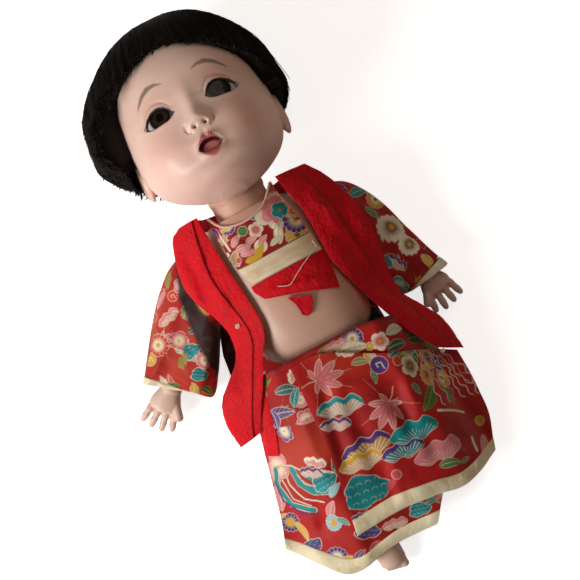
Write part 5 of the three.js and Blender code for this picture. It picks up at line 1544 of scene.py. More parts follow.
# small shared puckers of the lap's silk, the same for both layers so that they stay apart
skirtCreases = [
    (-44, -52, -66, -130, 5, 1.5), (-30, -60, -48, -150, 6, -1.4), (-8, -56, -22, -130, 4, 1.2),
    (4, -62, -6, -150, 5, 1.2),
    (20, -70, 40, -150, 6, 1.4), (44, -76, 30, -140, 4, -1.1), (60, -84, 74, -150, 4, 1.3),
    (-20, -160, 60, -150, 6, 1.0),
    (-60, -150, -20, -182, 5, 1.2), (70, -96, 84, -160, 4, -1.1), (-10, -100, 24, -118, 5, 0.9),
    (50, -110, 78, -104, 5, 1.0),
    (-56, -110, -30, -126, 5, -1.1), (-34, -96, -58, -168, 4, 1.2), (10, -124, 2, -166, 3.5, -0.9),
    (54, -118, 62, -164, 4, 1.0),
    (-4, -64, 40, -84, 4, 0.8), (24, -92, 62, -122, 5, -0.9)]


# fine relief of the skirt: its creases plus noise of two sizes
def skirtFine(x, y):
    return creases(x, y, skirtCreases) + 0.6 * (cloudy(x, y, 9, 4) - 0.5) + 1.2 * (cloudy(x, y, 26, 6) - 0.5)


skirtShares = {
    "under": {
        "left": [[-0.49, -0.42], [-0.56, -0.66], [-0.63, -0.9], [-0.69, -1.16], [-0.75, -1.4], [-0.82, -1.6]],
        "right": [[0.6, -0.46], [0.66, -0.75], [0.62, -1.05], [0.52, -1.35], [0.36, -1.65], [0.2, -1.88]],
        "top": [[-0.49, -0.42], [-0.2, -0.405], [0.08, -0.405], [0.35, -0.405], [0.6, -0.46]],
        "foot": [[-0.82, -1.6], [-0.64, -1.79], [-0.46, -1.94], [-0.12, -1.88], [0.2, -1.88]]},
    "over": {
        "left": [[-0.2, -0.45], [-0.21, -0.74], [-0.225, -1.05], [-0.26, -1.33], [-0.32, -1.69]],
        "right": [[0.88, -0.9], [0.885, -1.05], [0.88, -1.22], [0.87, -1.4], [0.8, -1.64]],
        "top": [[-0.2, -0.45], [0.02, -0.455], [0.34, -0.62], [0.62, -0.75], [0.88, -0.9]],
        "foot": [[-0.32, -1.69], [0.02, -1.66], [0.28, -1.68], [0.5, -1.72], [0.8, -1.64]]},
    "back": {
        "left": [[-0.5, -0.489], [-0.6, -0.8], [-0.68, -1.1], [-0.74, -1.4], [-0.76, -1.62]],
        "right": [[0.55, -0.489], [0.76, -0.8], [0.84, -1.1], [0.83, -1.4], [0.76, -1.6]],
        "top": [[-0.5, -0.489], [0, -0.489], [0.55, -0.489]],
        "foot": [[-0.76, -1.62], [-0.35, -1.78], [0, -1.7], [0.35, -1.65], [0.76, -1.6]]}}
hemStep = 8.5 / reach / 1.2
foldLine = {"start": (0, -0.052, 0.03), "end": (0, -0.078, 0.03)}  # where the lap bends with the legs


# places of a panel's patch between two shares down it
def panelPlaces(name, rows, cols, low, high):
    return patch(skirtShares[name], *gridShares(rows, cols, low, high))


# how far a cloth's height stands above the lap, from the solid part's own box
def liftOf(node, name, low, high):
    spots = panelPlaces(name, 60, 60, low, high)
    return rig.box(node)[1][2] / mm - silk - lap(spots[..., 0], spots[..., 1]).max()


# declares a piece as cloth, with its slot, and its node and body where it has them
def clothSheet(piece, flat, held, rests, node=None, body=None, slot="printed_silk", area=None, withPieces=()):
    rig.sheet(piece, flat=flat, held=held, rests_on=rests, area=area, with_pieces=withPieces)
    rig.slot(piece, slot)
    if node:
        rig.replaces(piece, node)
    if body:
        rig.ride(piece, body)
    return piece


# cream silk, browner in slow patches and fine spots
def hemPaint(x, y, seed):
    cream = np.broadcast_to(colour("f4e9c6"), (*x.shape, 3))
    cream = mix(cream, colour("dccb9c"), 0.5 * ease(cloudy(x, y, 12, seed) * 2 - 0.6))
    return mix(cream, colour("a98f5c"), 0.35 * ease(cloudy(x, y, 4, seed + 2) * 3 - 1.9))


skirtSettings = {
    "under": {"rows": 253, "cols": 281, "thick": 1.0, "flat": (0.165, 0.16), "area": 0.0205, "seed": 3},
    "over": {"rows": 229, "cols": 229, "thick": 1.0, "flat": (0.125, 0.13), "area": 0.0132, "seed": 11},
    "back": {"rows": 61, "cols": 81, "flat": (0.16, 0.13), "area": 0.0168, "seed": 23}}


# panel of the skirt: its patch raised over the lap, plus fine folds, with its print
def makePanel(name):
    facts = skirtSettings[name]
    spots = panelPlaces(name, facts["rows"], facts["cols"], 0, 1 - hemStep)
    x, y = spots[..., 0], spots[..., 1]
    if name == "back":
        base, fine, thick = 0.15, 0.1 + 0.5 * cloudy(x, y, 18, 2), 1.3
    else:
        base = lap(x, y) + liftOf(f"skirt_{name}", name, 0, 1 - hemStep)
        fine, thick = skirtFine(x, y), facts["thick"]
    u, v = gridShares(facts["rows"], facts["cols"])
    # the edges turn down a little, as a folded hem does, and the open left edge stands on its fold
    rolled = 0.5 * bell(u / 0.012) + 0.5 * bell((1 - u) / 0.012) + 0.4 * bell(v / 0.014)
    low = base + (fine if name != "back" else 0)
    top = np.stack([x, y, low + thick + (fine if name == "back" else 0) * 0.6 - rolled * 0.6], -1)
    under = np.stack([x, y, np.broadcast_to(low, x.shape)], -1)
    extent = [(spots[..., k].min(), spots[..., k].max()) for k in (0, 1)]
    own = strewn((extent[0][0], extent[1][0]), (extent[0][1], extent[1][1]), 49 if name == "back" else 36,
                 facts["seed"])
    motifs = {"under": underPrint, "over": overPrint, "back": []}[name]
    if name != "back":
        known = np.array([[m[1], m[2], m[3]] for m in motifs if m[0] not in ("cord", "chain")], float)
        own = [m for m in own if np.all(np.hypot(known[:, 0] - m[1], known[:, 1] - m[2]) > known[:, 2]
                                        + m[3] * 0.7)]
    flat = None if name == "back" else (unrolledX(x, top[..., 2], lapShares["middle"] * reach), y)
    paint = paintPrint(x, y, redGround(x, y, facts["seed"]), own + motifs, flat)
    if name == "under":
        edge = ease(1 - v / 0.03)
        paint = mix(paint, colour("6e0b10"), 0.85 * edge)
    piece = clothPiece(f"silk_{name}", top, under, 4, printedSilk, paint)
    resting = {"over": ["skirt_under"], "under": ["thigh_left", "thigh_right"], "back": ["floor"]}[name]
    clothSheet(piece, facts["flat"], "laid" if name == "back" else "draped", resting, f"skirt_{name}",
               "trunk" if name == "back" else None, "printed_silk", facts["area"])
    if name != "back":
        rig.blend(piece, "trunk", "leg_left", start=foldLine["start"], end=foldLine["end"])


# padded cream hem: the outline's last band, rounded across, with puckers along its seam
def makeHem(name):
    rows, cols = 25, 321
    spots = panelPlaces(name, rows, cols, 1 - hemStep * 1.12, 1)
    x, y = spots[..., 0], spots[..., 1]
    u, v = gridShares(rows, cols)
    bulge = np.sin(np.pi * np.clip(v, 0, 1)) ** 0.6
    puckers = 0.35 * cloudy(u * 60, v * 2, 1.0, 5) * bulge
    if name == "back":
        low = np.full(x.shape, 0.1)
        thick = 0.9 + 0.7 * bulge
    else:
        base = lap(x, y) + liftOf(f"skirt_{name}", name, 0, 1 - hemStep) + skirtFine(x, y)
        low = base - 0.05
        thick = 1.15 + 1.35 * bulge + puckers
    low = np.maximum(low, 0.1)
    top = np.stack([x, y, low + thick], -1)
    piece = clothPiece(f"hem_silk_{name}", top, np.stack([x, y, low], -1), 4, creamSilk,
                       hemPaint(x, y, skirtSettings[name]["seed"]))
    body = {"back": "trunk"}.get(name, "leg_left")
    flat = {"under": (0.118, 0.0102), "over": (0.124, 0.0102), "back": (0.16, 0.0102)}[name]
    clothSheet(piece, flat, "laid" if name == "back" else "draped", [f"skirt_{name}"], f"hem_{name}", body,
               "cream_silk")


for panel in ("back", "under", "over"):
    makePanel(panel)
    makeHem(panel)
print("skirt made")


# folded waist flap at the doll's right, on the under panel
flapShares = {
    "left": [[-0.512, -0.475], [-0.505, -0.64], [-0.487, -0.785]],
    "right": [[-0.165, -0.46], [-0.165, -0.62], [-0.17, -0.8]],
    "top": [[-0.512, -0.475], [-0.35, -0.455], [-0.165, -0.46]],
    "foot": [[-0.487, -0.785], [-0.33, -0.8], [-0.17, -0.8]]}


# folded flap: a patch on the under panel, with a thicker lip along its foot
def makeFlap():
    rows, cols = 73, 81
    u, v = gridShares(rows, cols)
    spots = patch(flapShares, u, v)
    x, y = spots[..., 0], spots[..., 1]
    lift = liftOf("skirt_under", "under", 0, 1 - hemStep)
    low = lap(x, y) + lift + skirtFine(x, y) + 1.05
    lip = 0.75 * bell((1 - v) / 0.06) + 0.3 * bell(u / 0.05)
    top = np.stack([x, y, low + 0.65 + lip - 0.6 * (u > 0.9) * ease((u - 0.9) * 10)], -1)
    paint = paintPrint(x, y, redGround(x, y, 31), strewn((-52, -80), (-18, -46), 4, 41, (4, 7)) + foldPrint)
    piece = clothPiece("silk_waist_fold", top, np.stack([x, y, low], -1), 4, printedSilk, paint)
    clothSheet(piece, (0.038, 0.038), "laid", ["silk_under"], None, None)
    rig.blend(piece, "trunk", "leg_left", start=foldLine["start"], end=foldLine["end"])


makeFlap()


# sleeves: a tube of silk along each arm, with its dark lining

sleeveShares = {
    "right": {
        "outer": [[-0.5, 0.57], [-0.66, 0.5], [-0.82, 0.36], [-0.97, 0.18], [-1.1, 0], [-1.175, -0.11]],
        "inner": [[-0.42, 0.2], [-0.49, 0.03], [-0.57, -0.13], [-0.67, -0.3], [-0.77, -0.42],
                  [-0.86, -0.34]]},
    "left": {
        "outer": [[0.56, 0.56], [0.72, 0.48], [0.86, 0.28], [0.95, 0.04], [1.03, -0.17], [1.1, -0.33]],
        "inner": [[0.46, 0.18], [0.515, 0.01], [0.57, -0.14], [0.63, -0.27], [0.7, -0.38], [0.77, -0.39]]}}
sleeveSteps = [0, 0.2, 0.4, 0.6, 0.8, 1]
sleeveUnder = [0.06, 0.03, 0.004, 0.003, 0.003, 0.003]
sleeveOver = [0.445, 0.43, 0.375, 0.325, 0.29, 0.265]
armShares = {
    "right": {"elbow": (-0.735, 0.065, 0.158), "wrist": (-1.03, -0.25, 0.11), "tip": (-1.24, -0.43, 0.078)},
    "left": {"elbow": (0.735, 0.025, 0.158), "wrist": (0.935, -0.355, 0.11), "tip": (0.985, -0.57, 0.078)}}
cuffDepth = 9.0


# place of a joint of the arm, from its shares
def armPlace(name, joint):
    return np.array(armShares[name][joint]) * reach


# ring of the tube: a superellipse between the two edges and the two heights, drawn in by shrink
def sleeveRing(name, t, angle, shrink):
    edges = sleeveShares[name]
    a, b = outline(edges["outer"])(t), outline(edges["inner"])(t)
    half = (b - a) / 2
    middle, wide = a + half, np.linalg.norm(half, axis=-1, keepdims=True)
    low = through(sleeveSteps, sleeveUnder, t) * reach + shrink
    high = through(sleeveSteps, sleeveOver, t) * reach - shrink
    across, up = rounded(angle, 1.0, 1.0, 3)
    spot = middle + half / wide * ((wide[..., 0] - shrink) * across)[..., None]
    return np.concatenate([spot, ((low + high) / 2 + up * (high - low) / 2)[..., None]], -1)


# closed tube: outer rings, then inner rings the other way round, joined at both rims
def tubePiece(name, outer, inner, material, paint):
    rings = np.concatenate([outer, inner[::-1]])
    rows, cols = rings.shape[:2]
    i, j = np.arange(rows)[:, None], np.arange(cols)[None, :]
    below, right = (i + 1) % rows, (j + 1) % cols
    quads = np.stack([i * cols + j, i * cols + right, below * cols + right, below * cols + j],
                     -1).reshape(-1, 4)
    return makePiece(name, rings.reshape(-1, 3), quads, None, material, paint)


# folds of a sleeve: slow noise plus a sine, on its upper side only
def sleeveFolds(name, t, angle):
    upper = ease(np.sin(angle) * 1.4 + 0.2)
    seed = 3 if name == "right" else 8
    slow = 4.0 * (cloudy(t * 7, np.cos(angle) * 2.2, 1.1, seed) - 0.5)
    long = 2.2 * np.sin(np.cos(angle) * 7 + t * 4 + seed) * ease(t * 3)
    return upper * (slow + long) * 0.8


# unrolled places on the tube: length round it from its top, laid out across the arm
def sleeveFlat(rings, name, t):
    edges = sleeveShares[name]
    a, b = outline(edges["outer"])(t[:, 0]), outline(edges["inner"])(t[:, 0])
    across = (b - a) / np.linalg.norm(b - a, axis=1, keepdims=True)
    length = np.cumsum(np.linalg.norm(rings - np.roll(rings, 1, axis=1), axis=2), axis=1)
    cols = rings.shape[1]
    top = length[:, cols // 4][:, None]
    whole = length[:, -1:]
    away = (top - length + whole / 2) % whole - whole / 2
    return tuple(((a + b) / 2)[:, None, k] + across[:, None, k] * away for k in (0, 1))


# painted shadow in the gap along the right sleeve, beside the crepe band
sleeveGapShadow = {"shade": "150305", "wide": [1.5, 4, 7, 9, 8, 4],
                "line": [(-57, 47), (-62.4, 26.7), (-61.5, 9.3), (-60.5, -7.4), (-61.5, -22), (-64, -32)]}


# sleeve and cuff: a tube sunk by its folds inside the solid's own, printed outside, dark inside
def makeSleeve(name):
    side = 1 if name == "left" else -1
    length = np.linalg.norm(armPlace(name, "wrist") - armPlace(name, "elbow")) * 2
    cuffAt = 1 - cuffDepth / length
    sleevePrint = sleevePrintLeft if side > 0 else sleevePrintRight
    cols = 250
    angle = np.linspace(0, 2 * np.pi, cols, endpoint=False)[None, :]
    for part, (start, stop), rows in (("sleeve", (0.1, cuffAt), 190),
                                      ("cuff", (cuffAt + 1.2 / length, 1), 16)):
        t = np.linspace(start, stop, rows)[:, None] + 0 * angle
        fullAngle = angle + 0 * t
        sunk = 0.35 + 0.5 - np.minimum(sleeveFolds(name, t, fullAngle), 0.45)
        if part == "cuff":
            sunk = sunk - 0.35 * np.sin(np.pi * np.linspace(0, 1, rows))[:, None] ** 0.5
        outer = sleeveRing(name, t, fullAngle, sunk)
        rim = (stop - start) * 0.01
        inner = sleeveRing(name, np.clip(t, start + rim, stop - rim), fullAngle, sunk + 0.9)
        x, y = outer[..., 0], outer[..., 1]
        under = np.sin(fullAngle) < -0.1
        if part == "sleeve":
            own = strewn((x.min(), y.min()), (x.max(), y.max()), 30, 51 + side, (5, 9))
            known = np.array([m[1:4] for m in sleevePrint], float)
            own = [m for m in own if np.all(np.hypot(known[:, 0] - m[1], known[:, 1] - m[2]) > known[:, 2]
                                            + m[3] * 0.6)]
            seen = np.where(under, x + reach * 9, x)
            paint = paintPrint(seen, y, redGround(x, y, 60 + side), own + sleevePrint,
                               sleeveFlat(outer, name, t))
            if name == "right":
                # painted shadow of the gap between the right sleeve and the crepe band, on the sleeve's upper side
                hollow = (strokeGap(x, y, sleeveGapShadow["line"], sleeveGapShadow["wide"])
                          + 1.5 * (cloudy(x, y, 5, 17) - 0.5))
                paint = mix(paint, colour(sleeveGapShadow["shade"]), 0.96 * ease(0.5 - hollow / 3.5) * ~under)
            lining = np.broadcast_to(colour("3b0a0c"), (*x.shape, 3))
            material, slot = printedSilk, "printed_silk"
        else:
            paint = hemPaint(x, y, 70 + side)
            lining = np.broadcast_to(colour("b7a678"), (*x.shape, 3))
            material, slot = creamSilk, "cream_silk"
        paint = np.concatenate([paint, lining[::-1]]).reshape(-1, 3)
        piece = tubePiece(f"silk_{part}_{name}", outer, inner, material, paint)
        size, area = ((0.122, 0.085), None) if part == "sleeve" else ((0.1, 0.01), 0.00052)
        clothSheet(piece, size, "draped", [f"forearm_{name}", "floor"], f"{part}_{name}",
                   f"hand_{name}" if part == "cuff" else None, slot, area)
        if part == "sleeve":
            elbow, wrist = armPlace(name, "elbow"), armPlace(name, "wrist")
            along = wrist - elbow
            along /= np.linalg.norm(along)
            bend = [tuple((elbow + along * far) * mm) for far in (-1, 21)]
            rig.blend(piece, f"arm_{name}", f"hand_{name}", start=bend[0], end=bend[1])


for side in ("right", "left"):
    makeSleeve(side)
print("sleeves made")


# torso under the clothes

torsoSettings = {"topY": 60.0, "bottomY": -46.0, "halfWidth": 41.0, "halfDepth": 32.0, "lean": 9.0,
                 "rise": 6.5, "floor": 2.55, "power": 2.3}
torsoShares = [0, 0.05, 0.12, 0.22, 0.36, 0.5, 0.66, 0.8, 0.9, 0.96, 1]
torsoWidthShares = [0.68, 0.78, 0.87, 0.94, 0.975, 0.98, 1, 0.99, 0.93, 0.8, 0.56]
torsoDepthShares = [0.74, 0.83, 0.9, 0.95, 0.98, 1, 1.03, 1.02, 0.95, 0.82, 0.58]
torsoRiseShares = [1, 0.85, 0.62, 0.35, 0.12, 0.03, 0, 0, 0, 0, 0]


# middle, width and depth of the torso at a height
def torsoAt(y):
    facts = torsoSettings
    share = (facts["topY"] - y) / (facts["topY"] - facts["bottomY"])
    width = through(torsoShares, torsoWidthShares, share) * facts["halfWidth"]
    depth = through(torsoShares, torsoDepthShares, share) * facts["halfDepth"]
    z = (facts["floor"] + facts["halfDepth"] * 1.03
         + through(torsoShares, torsoRiseShares, share) * facts["rise"])
    return facts["lean"] * np.clip(share, 0, 1) ** 1.2, z, width, depth


# front of the torso: its superellipse solved for the depth
def torsoFront(x, y):
    middle, z, width, depth = torsoAt(np.minimum(y, torsoSettings["topY"]))
    out = np.minimum(np.abs((x - middle) / width), 1)
    return z + depth * (1 - out ** torsoSettings["power"]) ** (1 / torsoSettings["power"])


chestShares = {
    "bib": {
        "left": [[-0.25, 0.67], [-0.245, 0.56], [-0.235, 0.42], [-0.215, 0.27]],
        "right": [[0.24, 0.7], [0.26, 0.56], [0.29, 0.42], [0.32, 0.285]],
        "top": [[-0.25, 0.67], [-0.17, 0.56], [-0.03, 0.53], [0.12, 0.57], [0.24, 0.7]],
        "foot": [[-0.215, 0.27], [-0.08, 0.27], [0.06, 0.275], [0.2, 0.28], [0.32, 0.285]]},
    "bib_band": {
        "left": [[-0.212, 0.264], [-0.19, 0.2], [-0.17, 0.14]],
        "right": [[0.322, 0.279], [0.33, 0.21], [0.34, 0.145]],
        "top": [[-0.212, 0.264], [0.06, 0.269], [0.322, 0.279]],
        "foot": [[-0.17, 0.14], [0.06, 0.145], [0.34, 0.145]]},
    "waist_strap": {
        "left": [[-0.19, 0.13], [-0.18, 0.08], [-0.14, 0.02]],
        "right": [[0.345, 0.138], [0.35, 0.02], [0.33, -0.13]],
        "top": [[-0.19, 0.13], [0.06, 0.138], [0.345, 0.138]],
        "foot": [[-0.14, 0.02], [0.1, -0.05], [0.33, -0.13]]},
    "strap_end": {
        "left": [[-0.01, -0.035], [0.02, -0.1], [0.03, -0.18]],
        "right": [[0.14, -0.09], [0.125, -0.14], [0.08, -0.2]],
        "top": [[-0.01, -0.035], [0.06, -0.06], [0.14, -0.09]],
        "foot": [[0.03, -0.18], [0.055, -0.2], [0.08, -0.2]]}}


# shares and places of one of the chest's patches
def chestGrid(name, rows, cols):
    u, v = gridShares(rows, cols)
    spots = patch(chestShares[name], u, v)
    return u, v, spots[..., 0], spots[..., 1]


# satin: pale slanted streaks as painted sheen, and slow brown patches
def satinSheenAndStains(x, y):
    tint = np.broadcast_to(colour("e6cfa6"), (*x.shape, 3))
    tint = mix(tint, colour("f4e6c8"), ease(cloudy(x * 0.4 + y, y - x * 0.4, 7, 3) * 1.8 - 0.5))
    return mix(tint, colour("c9a878"), 0.6 * ease(cloudy(x * 0.3 + y * 1.3, x, 11, 9) * 2 - 0.9))


# crepe: two reds by slow noise, and a fine grain
def crepePaint(x, y, seed=1):
    tint = np.broadcast_to(colour("c80618"), (*x.shape, 3))
    tint = mix(tint, colour("a5040f"), 0.5 * ease(cloudy(x, y, 22, seed) * 2 - 0.7))
    return mix(tint, colour("d80f22"), 0.3 * ease(cloudy(x, y, 1.6, seed + 3) * 2.4 - 1.1))


# cloths over the chest: patches raised from the torso's front, each with its own relief
def makeChest():
    # printed bib, its hem folded over the band
    u, v, x, y = chestGrid("bib", 109, 133)
    pucker = creases(x, y, [(-14, 54, -6, 30, 3, 0.6), (8, 56, 14, 31, 3, -0.5), (-20, 44, 28, 40, 2.5, 0.4),
                            (20, 60, 26, 32, 3, 0.5)])
    low = torsoFront(x, y) + 0.5 + 0.4 * (1 - v) * bell(u / 0.3) + np.maximum(pucker, -0.2)
    seam = (0.35 * bell((v - 0.06) / 0.02) + 0.5 * bell((1 - v) / 0.03) + 0.3 * bell(u / 0.03)
            + 0.3 * bell((1 - u) / 0.03))
    top = np.stack([x, y, low + 0.7 + seam], -1)
    paint = paintPrint(x, y, redGround(x, y, 44), strewn((-26, 26), (32, 70), 9, 71, (4, 6)) + bibPrint)
    bib = clothPiece("silk_bib", top, np.stack([x, y, low], -1), 4, printedSilk, paint)
    clothSheet(bib, (0.058, 0.044), "laid", ["torso"], "bib", "trunk", "printed_silk", 0.0018)

    # neckline piping: a thin pale roll along the top of the bib
    t = np.linspace(0.02, 0.98, 90)
    line = outline(chestShares["bib"]["top"])(t)
    path = np.concatenate([line, (torsoFront(line[:, 0], line[:, 1]) + 1.3)[:, None]], 1)[None]
    pink = np.array([colour("e9bfae")])
    piping = strandPiece("neckline_piping", path, np.full((1, 90), 0.85), 10, creamSilk, pink)
    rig.ride(piping, "trunk")
    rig.slot(piping, "cream_silk")

    # satin band across the bib's foot, crumpled lengthways
    u, v, x, y = chestGrid("bib_band", 53, 133)
    crumple = 0.9 * (cloudy(u * 5, v * 16, 2.2, 12) - 0.5) + 0.5 * np.sin(v * 15 + 3 * cloudy(u * 4, v, 1, 2))
    low = torsoFront(x, y) + 0.3
    top = np.stack([x, y, low + 1.25 + 0.6 * crumple * np.sin(np.pi * v) ** 0.4], -1)
    band = clothPiece("satin_band", top, np.stack([x, y, low], -1), 4, creamSilk, satinSheenAndStains(x, y))
    clothSheet(band, (0.066, 0.0145), "laid", ["torso"], "bib_band", "trunk", "cream_silk")

    # crepe strap below the band, and its loose end
    for name, rows, cols, flat, seed in (("waist_strap", 61, 121, (0.062, 0.02), 5),
                                         ("strap_end", 41, 33, (0.0125, 0.0135), 6)):
        u, v, x, y = chestGrid(name, rows, cols)
        if name == "waist_strap":
            folded = 0.8 * creases(x, y, [(-14, 8, 34, -2, 2.6, 0.9), (-10, 3, 20, 6, 2.2, 0.5)])
        else:
            folded = 0.3 * cloudy(x, y, 4, 3)
        low = torsoFront(x, y) + (0.35 if name == "waist_strap" else 0.9)
        edge = 0.5 * bell(v / 0.05) + 0.45 * bell((1 - v) / 0.05)
        top = np.stack([x, y, low + 1.1 + folded + edge + 0.5 * (cloudy(x, y, 2.2, seed) - 0.5)], -1)
        strap = clothPiece(f"crepe_{name}", top, np.stack([x, y, low], -1), 4, crepeRed,
                           crepePaint(x, y, seed))
        clothSheet(strap, flat, "laid", ["torso"], name, "trunk", "red_crepe")


collarShares = {
    "right": {
        "inner": [[-0.3, 0.7, 0.56], [-0.29, 0.54, 0.61], [-0.27, 0.32, 0.62], [-0.245, 0.1, 0.62],
                  [-0.235, -0.14, 0.625],
                  [-0.33, -0.32, 0.61], [-0.4, -0.46, 0.63], [-0.5, -0.62, 0.46], [-0.58, -0.77, 0.31]],
        "outer": [[-0.45, 0.7, 0.44], [-0.53, 0.62, 0.45], [-0.61, 0.32, 0.45], [-0.6, 0.08, 0.42],
                  [-0.575, -0.11, 0.36],
                  [-0.64, -0.3, 0.34], [-0.69, -0.47, 0.31], [-0.73, -0.66, 0.25], [-0.75, -0.81, 0.19]]},
    "left": {
        "inner": [[0.28, 0.71, 0.56], [0.3, 0.6, 0.6], [0.34, 0.44, 0.61], [0.355, 0.24, 0.61],
                  [0.36, 0.06, 0.61],
                  [0.42, -0.14, 0.58], [0.49, -0.33, 0.575], [0.6, -0.58, 0.5], [0.745, -0.8, 0.33]],
        "outer": [[0.5, 0.71, 0.44], [0.59, 0.58, 0.45], [0.68, 0.36, 0.455], [0.71, 0.14, 0.44],
                  [0.7, -0.05, 0.4],
                  [0.69, -0.32, 0.33], [0.79, -0.5, 0.29], [0.88, -0.66, 0.24], [0.92, -0.9, 0.17]]}}
collarSettings = {
    "right": {
        "flat": (0.034, 0.175), "fold": 0.3, "foldDepth": 1.5, "seed": 5,
        "pinchAt": [0, 0.22, 0.33, 0.4, 0.5, 0.6, 0.68, 0.74, 0.82, 1],
        "pinch": [0, 1, 6, 10, 10.5, 11, 3, -3, -5, -1],
        "creases": [
            (-50, 60, -52, 10, 4, 1.1), (-58, 40, -58, -10, 4, -0.8), (-36, 20, -44, -30, 4, 0.9),
            (-50, -12, -60, -60, 5, 1.1), (-42, -20, -62, -70, 5, -0.9), (-30, 52, -44, 36, 4, 0.7),
            (-60, 10, -40, -4, 4, 0.6)]},
    "left": {
        "flat": (0.034, 0.19), "fold": 0.6, "foldDepth": 1.2, "seed": 9, "pinchAt": [0, 1], "pinch": [0, 0],
        "creases": [
            (50, 62, 54, 20, 4, 1.0), (60, 50, 62, 0, 4, -0.8), (44, 24, 50, -20, 4, 0.8),
            (56, -16, 76, -60, 5, 1.0), (66, -10, 84, -60, 4, -0.8), (40, 50, 60, 34, 4, 0.7),
            (46, 6, 64, 0, 4, 0.5)]}}


# place on a crepe band: across it by u, down it by v, above its rolled rest height
def collarPoint(name, u, v):
    a, b = outline(collarShares[name]["inner"])(v), outline(collarShares[name]["outer"])(v)
    spot = a + (b - a) * u[..., None]
    spot[..., 2] += 1.6 * np.sin(np.pi * u)
    return spot


# how far the band's rest height stands above its table, from the solid's box
def collarLift(name):
    u, v = gridShares(19, 6)
    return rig.box(f"collar_{name}")[1][2] / mm - crepe - collarPoint(name, u, v)[..., 2].max()


# collar band: between two outlines in space, pinched sideways, with a fold, creases and crinkles
def makeCollar(name):
    facts = collarSettings[name]
    rows, cols = 361, 101
    u, v = gridShares(rows, cols)
    spot = collarPoint(name, u, v)
    spot[..., 2] += collarLift(name)
    pinch = through(facts["pinchAt"], facts["pinch"], v)
    spot[..., 0] += pinch * u ** 1.4
    spot[..., 2] += 0.06 * pinch * np.sin(np.pi * u)
    x, y = spot[..., 0], spot[..., 1]
    # a turned fold runs along the band; the cloth is doubled outside it
    line = facts["fold"] + 0.07 * np.sin(v * 8 + facts["seed"]) + 0.03 * cloudy(v * 20, 0 * v, 1, 2)
    turned = facts["foldDepth"] * (ease((u - line) / 0.035) if facts["fold"] < 0.5
                                   else ease((line - u) / 0.035))
    slack = creases(x, y, facts["creases"]) + 1.1 * (cloudy(x, y, 12, facts["seed"]) - 0.5)
    crinkle = 0.62 * (cloudy(x, y, 1.7, facts["seed"] + 4) - 0.5)
    rim = 0.7 * (bell(u / 0.03) + bell((1 - u) / 0.03) + bell((1 - v) / 0.01))
    top = spot.copy()
    top[..., 2] += 0.9 + np.maximum(turned + slack, -0.4) + crinkle - rim * 0.5
    first, second = (0.7 * (cloudy(v * 60, u * 3, 1.2, facts["seed"] + more) - 0.5) for more in (0, 1))
    ripple = first * (u < 0.5) - second * (u >= 0.5)
    top[..., 0] += ripple * np.abs(u - 0.5) * 2
    under = spot.copy()
    under[..., 0] = top[..., 0]
    # painted shade along the turned fold
    paint = mix(crepePaint(x, y, facts["seed"]), colour("7a0a10"), 0.55 * bell((u - line) / 0.03))
    band = clothPiece(f"crepe_band_{name}", top, under, 4, crepeRed, paint)
    clothSheet(band, facts["flat"], "draped", ["torso", "skirt_under"], f"collar_{name}", "trunk",
               "red_crepe")


# the band's second, narrow end: a strip laid on the lap's silk
tailShares = {"left": [[-0.519, -0.45], [-0.546, -0.626], [-0.598, -0.784], [-0.64, -0.939]],
              "right": [[-0.387, -0.43], [-0.441, -0.606], [-0.48, -0.785], [-0.546, -0.972]],
              "top": [[-0.519, -0.45], [-0.387, -0.43]], "foot": [[-0.64, -0.939], [-0.546, -0.972]]}


# the tail is a patch over the under panel, swelling by a sine across it
def makeTail():
    u, v = gridShares(141, 41)
    spots = patch(tailShares, u, v)
    x, y = spots[..., 0], spots[..., 1]
    low = lap(x, y) + liftOf("skirt_under", "under", 0, 1 - hemStep) + skirtFine(x, y) + 1.1
    swell = 1.3 * np.sin(np.pi * u) ** 0.7 + 0.8 * bell((u - 0.3) / 0.12) + 0.6 * (cloudy(x, y, 6, 12) - 0.5)
    top = np.stack([x + 0.6 * (cloudy(v * 40, u * 2, 1.2, 21) - 0.5), y, low + 0.8 + np.maximum(swell, 0)],
                   -1)
    under = np.stack([top[..., 0], y, low], -1)
    tail = clothPiece("crepe_tail_right", top, under, 4, crepeRed, crepePaint(x, y, 23))
    clothSheet(tail, (0.014, 0.054), "laid", ["silk_under"], None, None)
    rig.slot(tail, "red_crepe")
    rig.blend(tail, "trunk", "leg_left", start=foldLine["start"], end=foldLine["end"])


# strip behind the neck: a little over half a ring, between two radii
def makeNape():
    radius, y0 = 29.0, 60.35
    rows, cols = 21, 161
    u, v = gridShares(rows, cols)
    angle = np.pi * (0.97 + 1.06 * u)
    y = y0 + (69 - y0) * v
    wave = 0.5 * (cloudy(u * 30, v * 4, 1.4, 6) - 0.5)
    ring = lambda r: np.stack([np.cos(angle) * r, y, 44 + np.sin(angle) * r], -1)
    outer, inner = ring(radius + 1.7 + wave + 0.4 * bell((1 - v) / 0.15)), ring(radius + 0.4 + 0 * wave)
    paint = crepePaint(u * 90, v * 9, 15)
    nape = clothPiece("crepe_nape", outer, inner, 4, crepeRed, paint)
    clothSheet(nape, (0.098, 0.0105), "draped", ["torso", "crepe_band_right", "crepe_band_left"],
               "collar_nape", "trunk", "red_crepe")


makeChest()
makeCollar("right")
makeCollar("left")
makeTail()
makeNape()
print("chest and collar made")


kimonoBackShares = [
    [-0.28, 0.68], [0.3, 0.68], [0.5, 0.62], [0.56, 0.4], [0.5, 0.1], [0.52, -0.25], [0.54, -0.485],
    [-0.63, -0.485], [-0.6, -0.2], [-0.555, -0.06], [-0.49, 0.08], [-0.47, 0.2], [-0.5, 0.4], [-0.46, 0.62]]


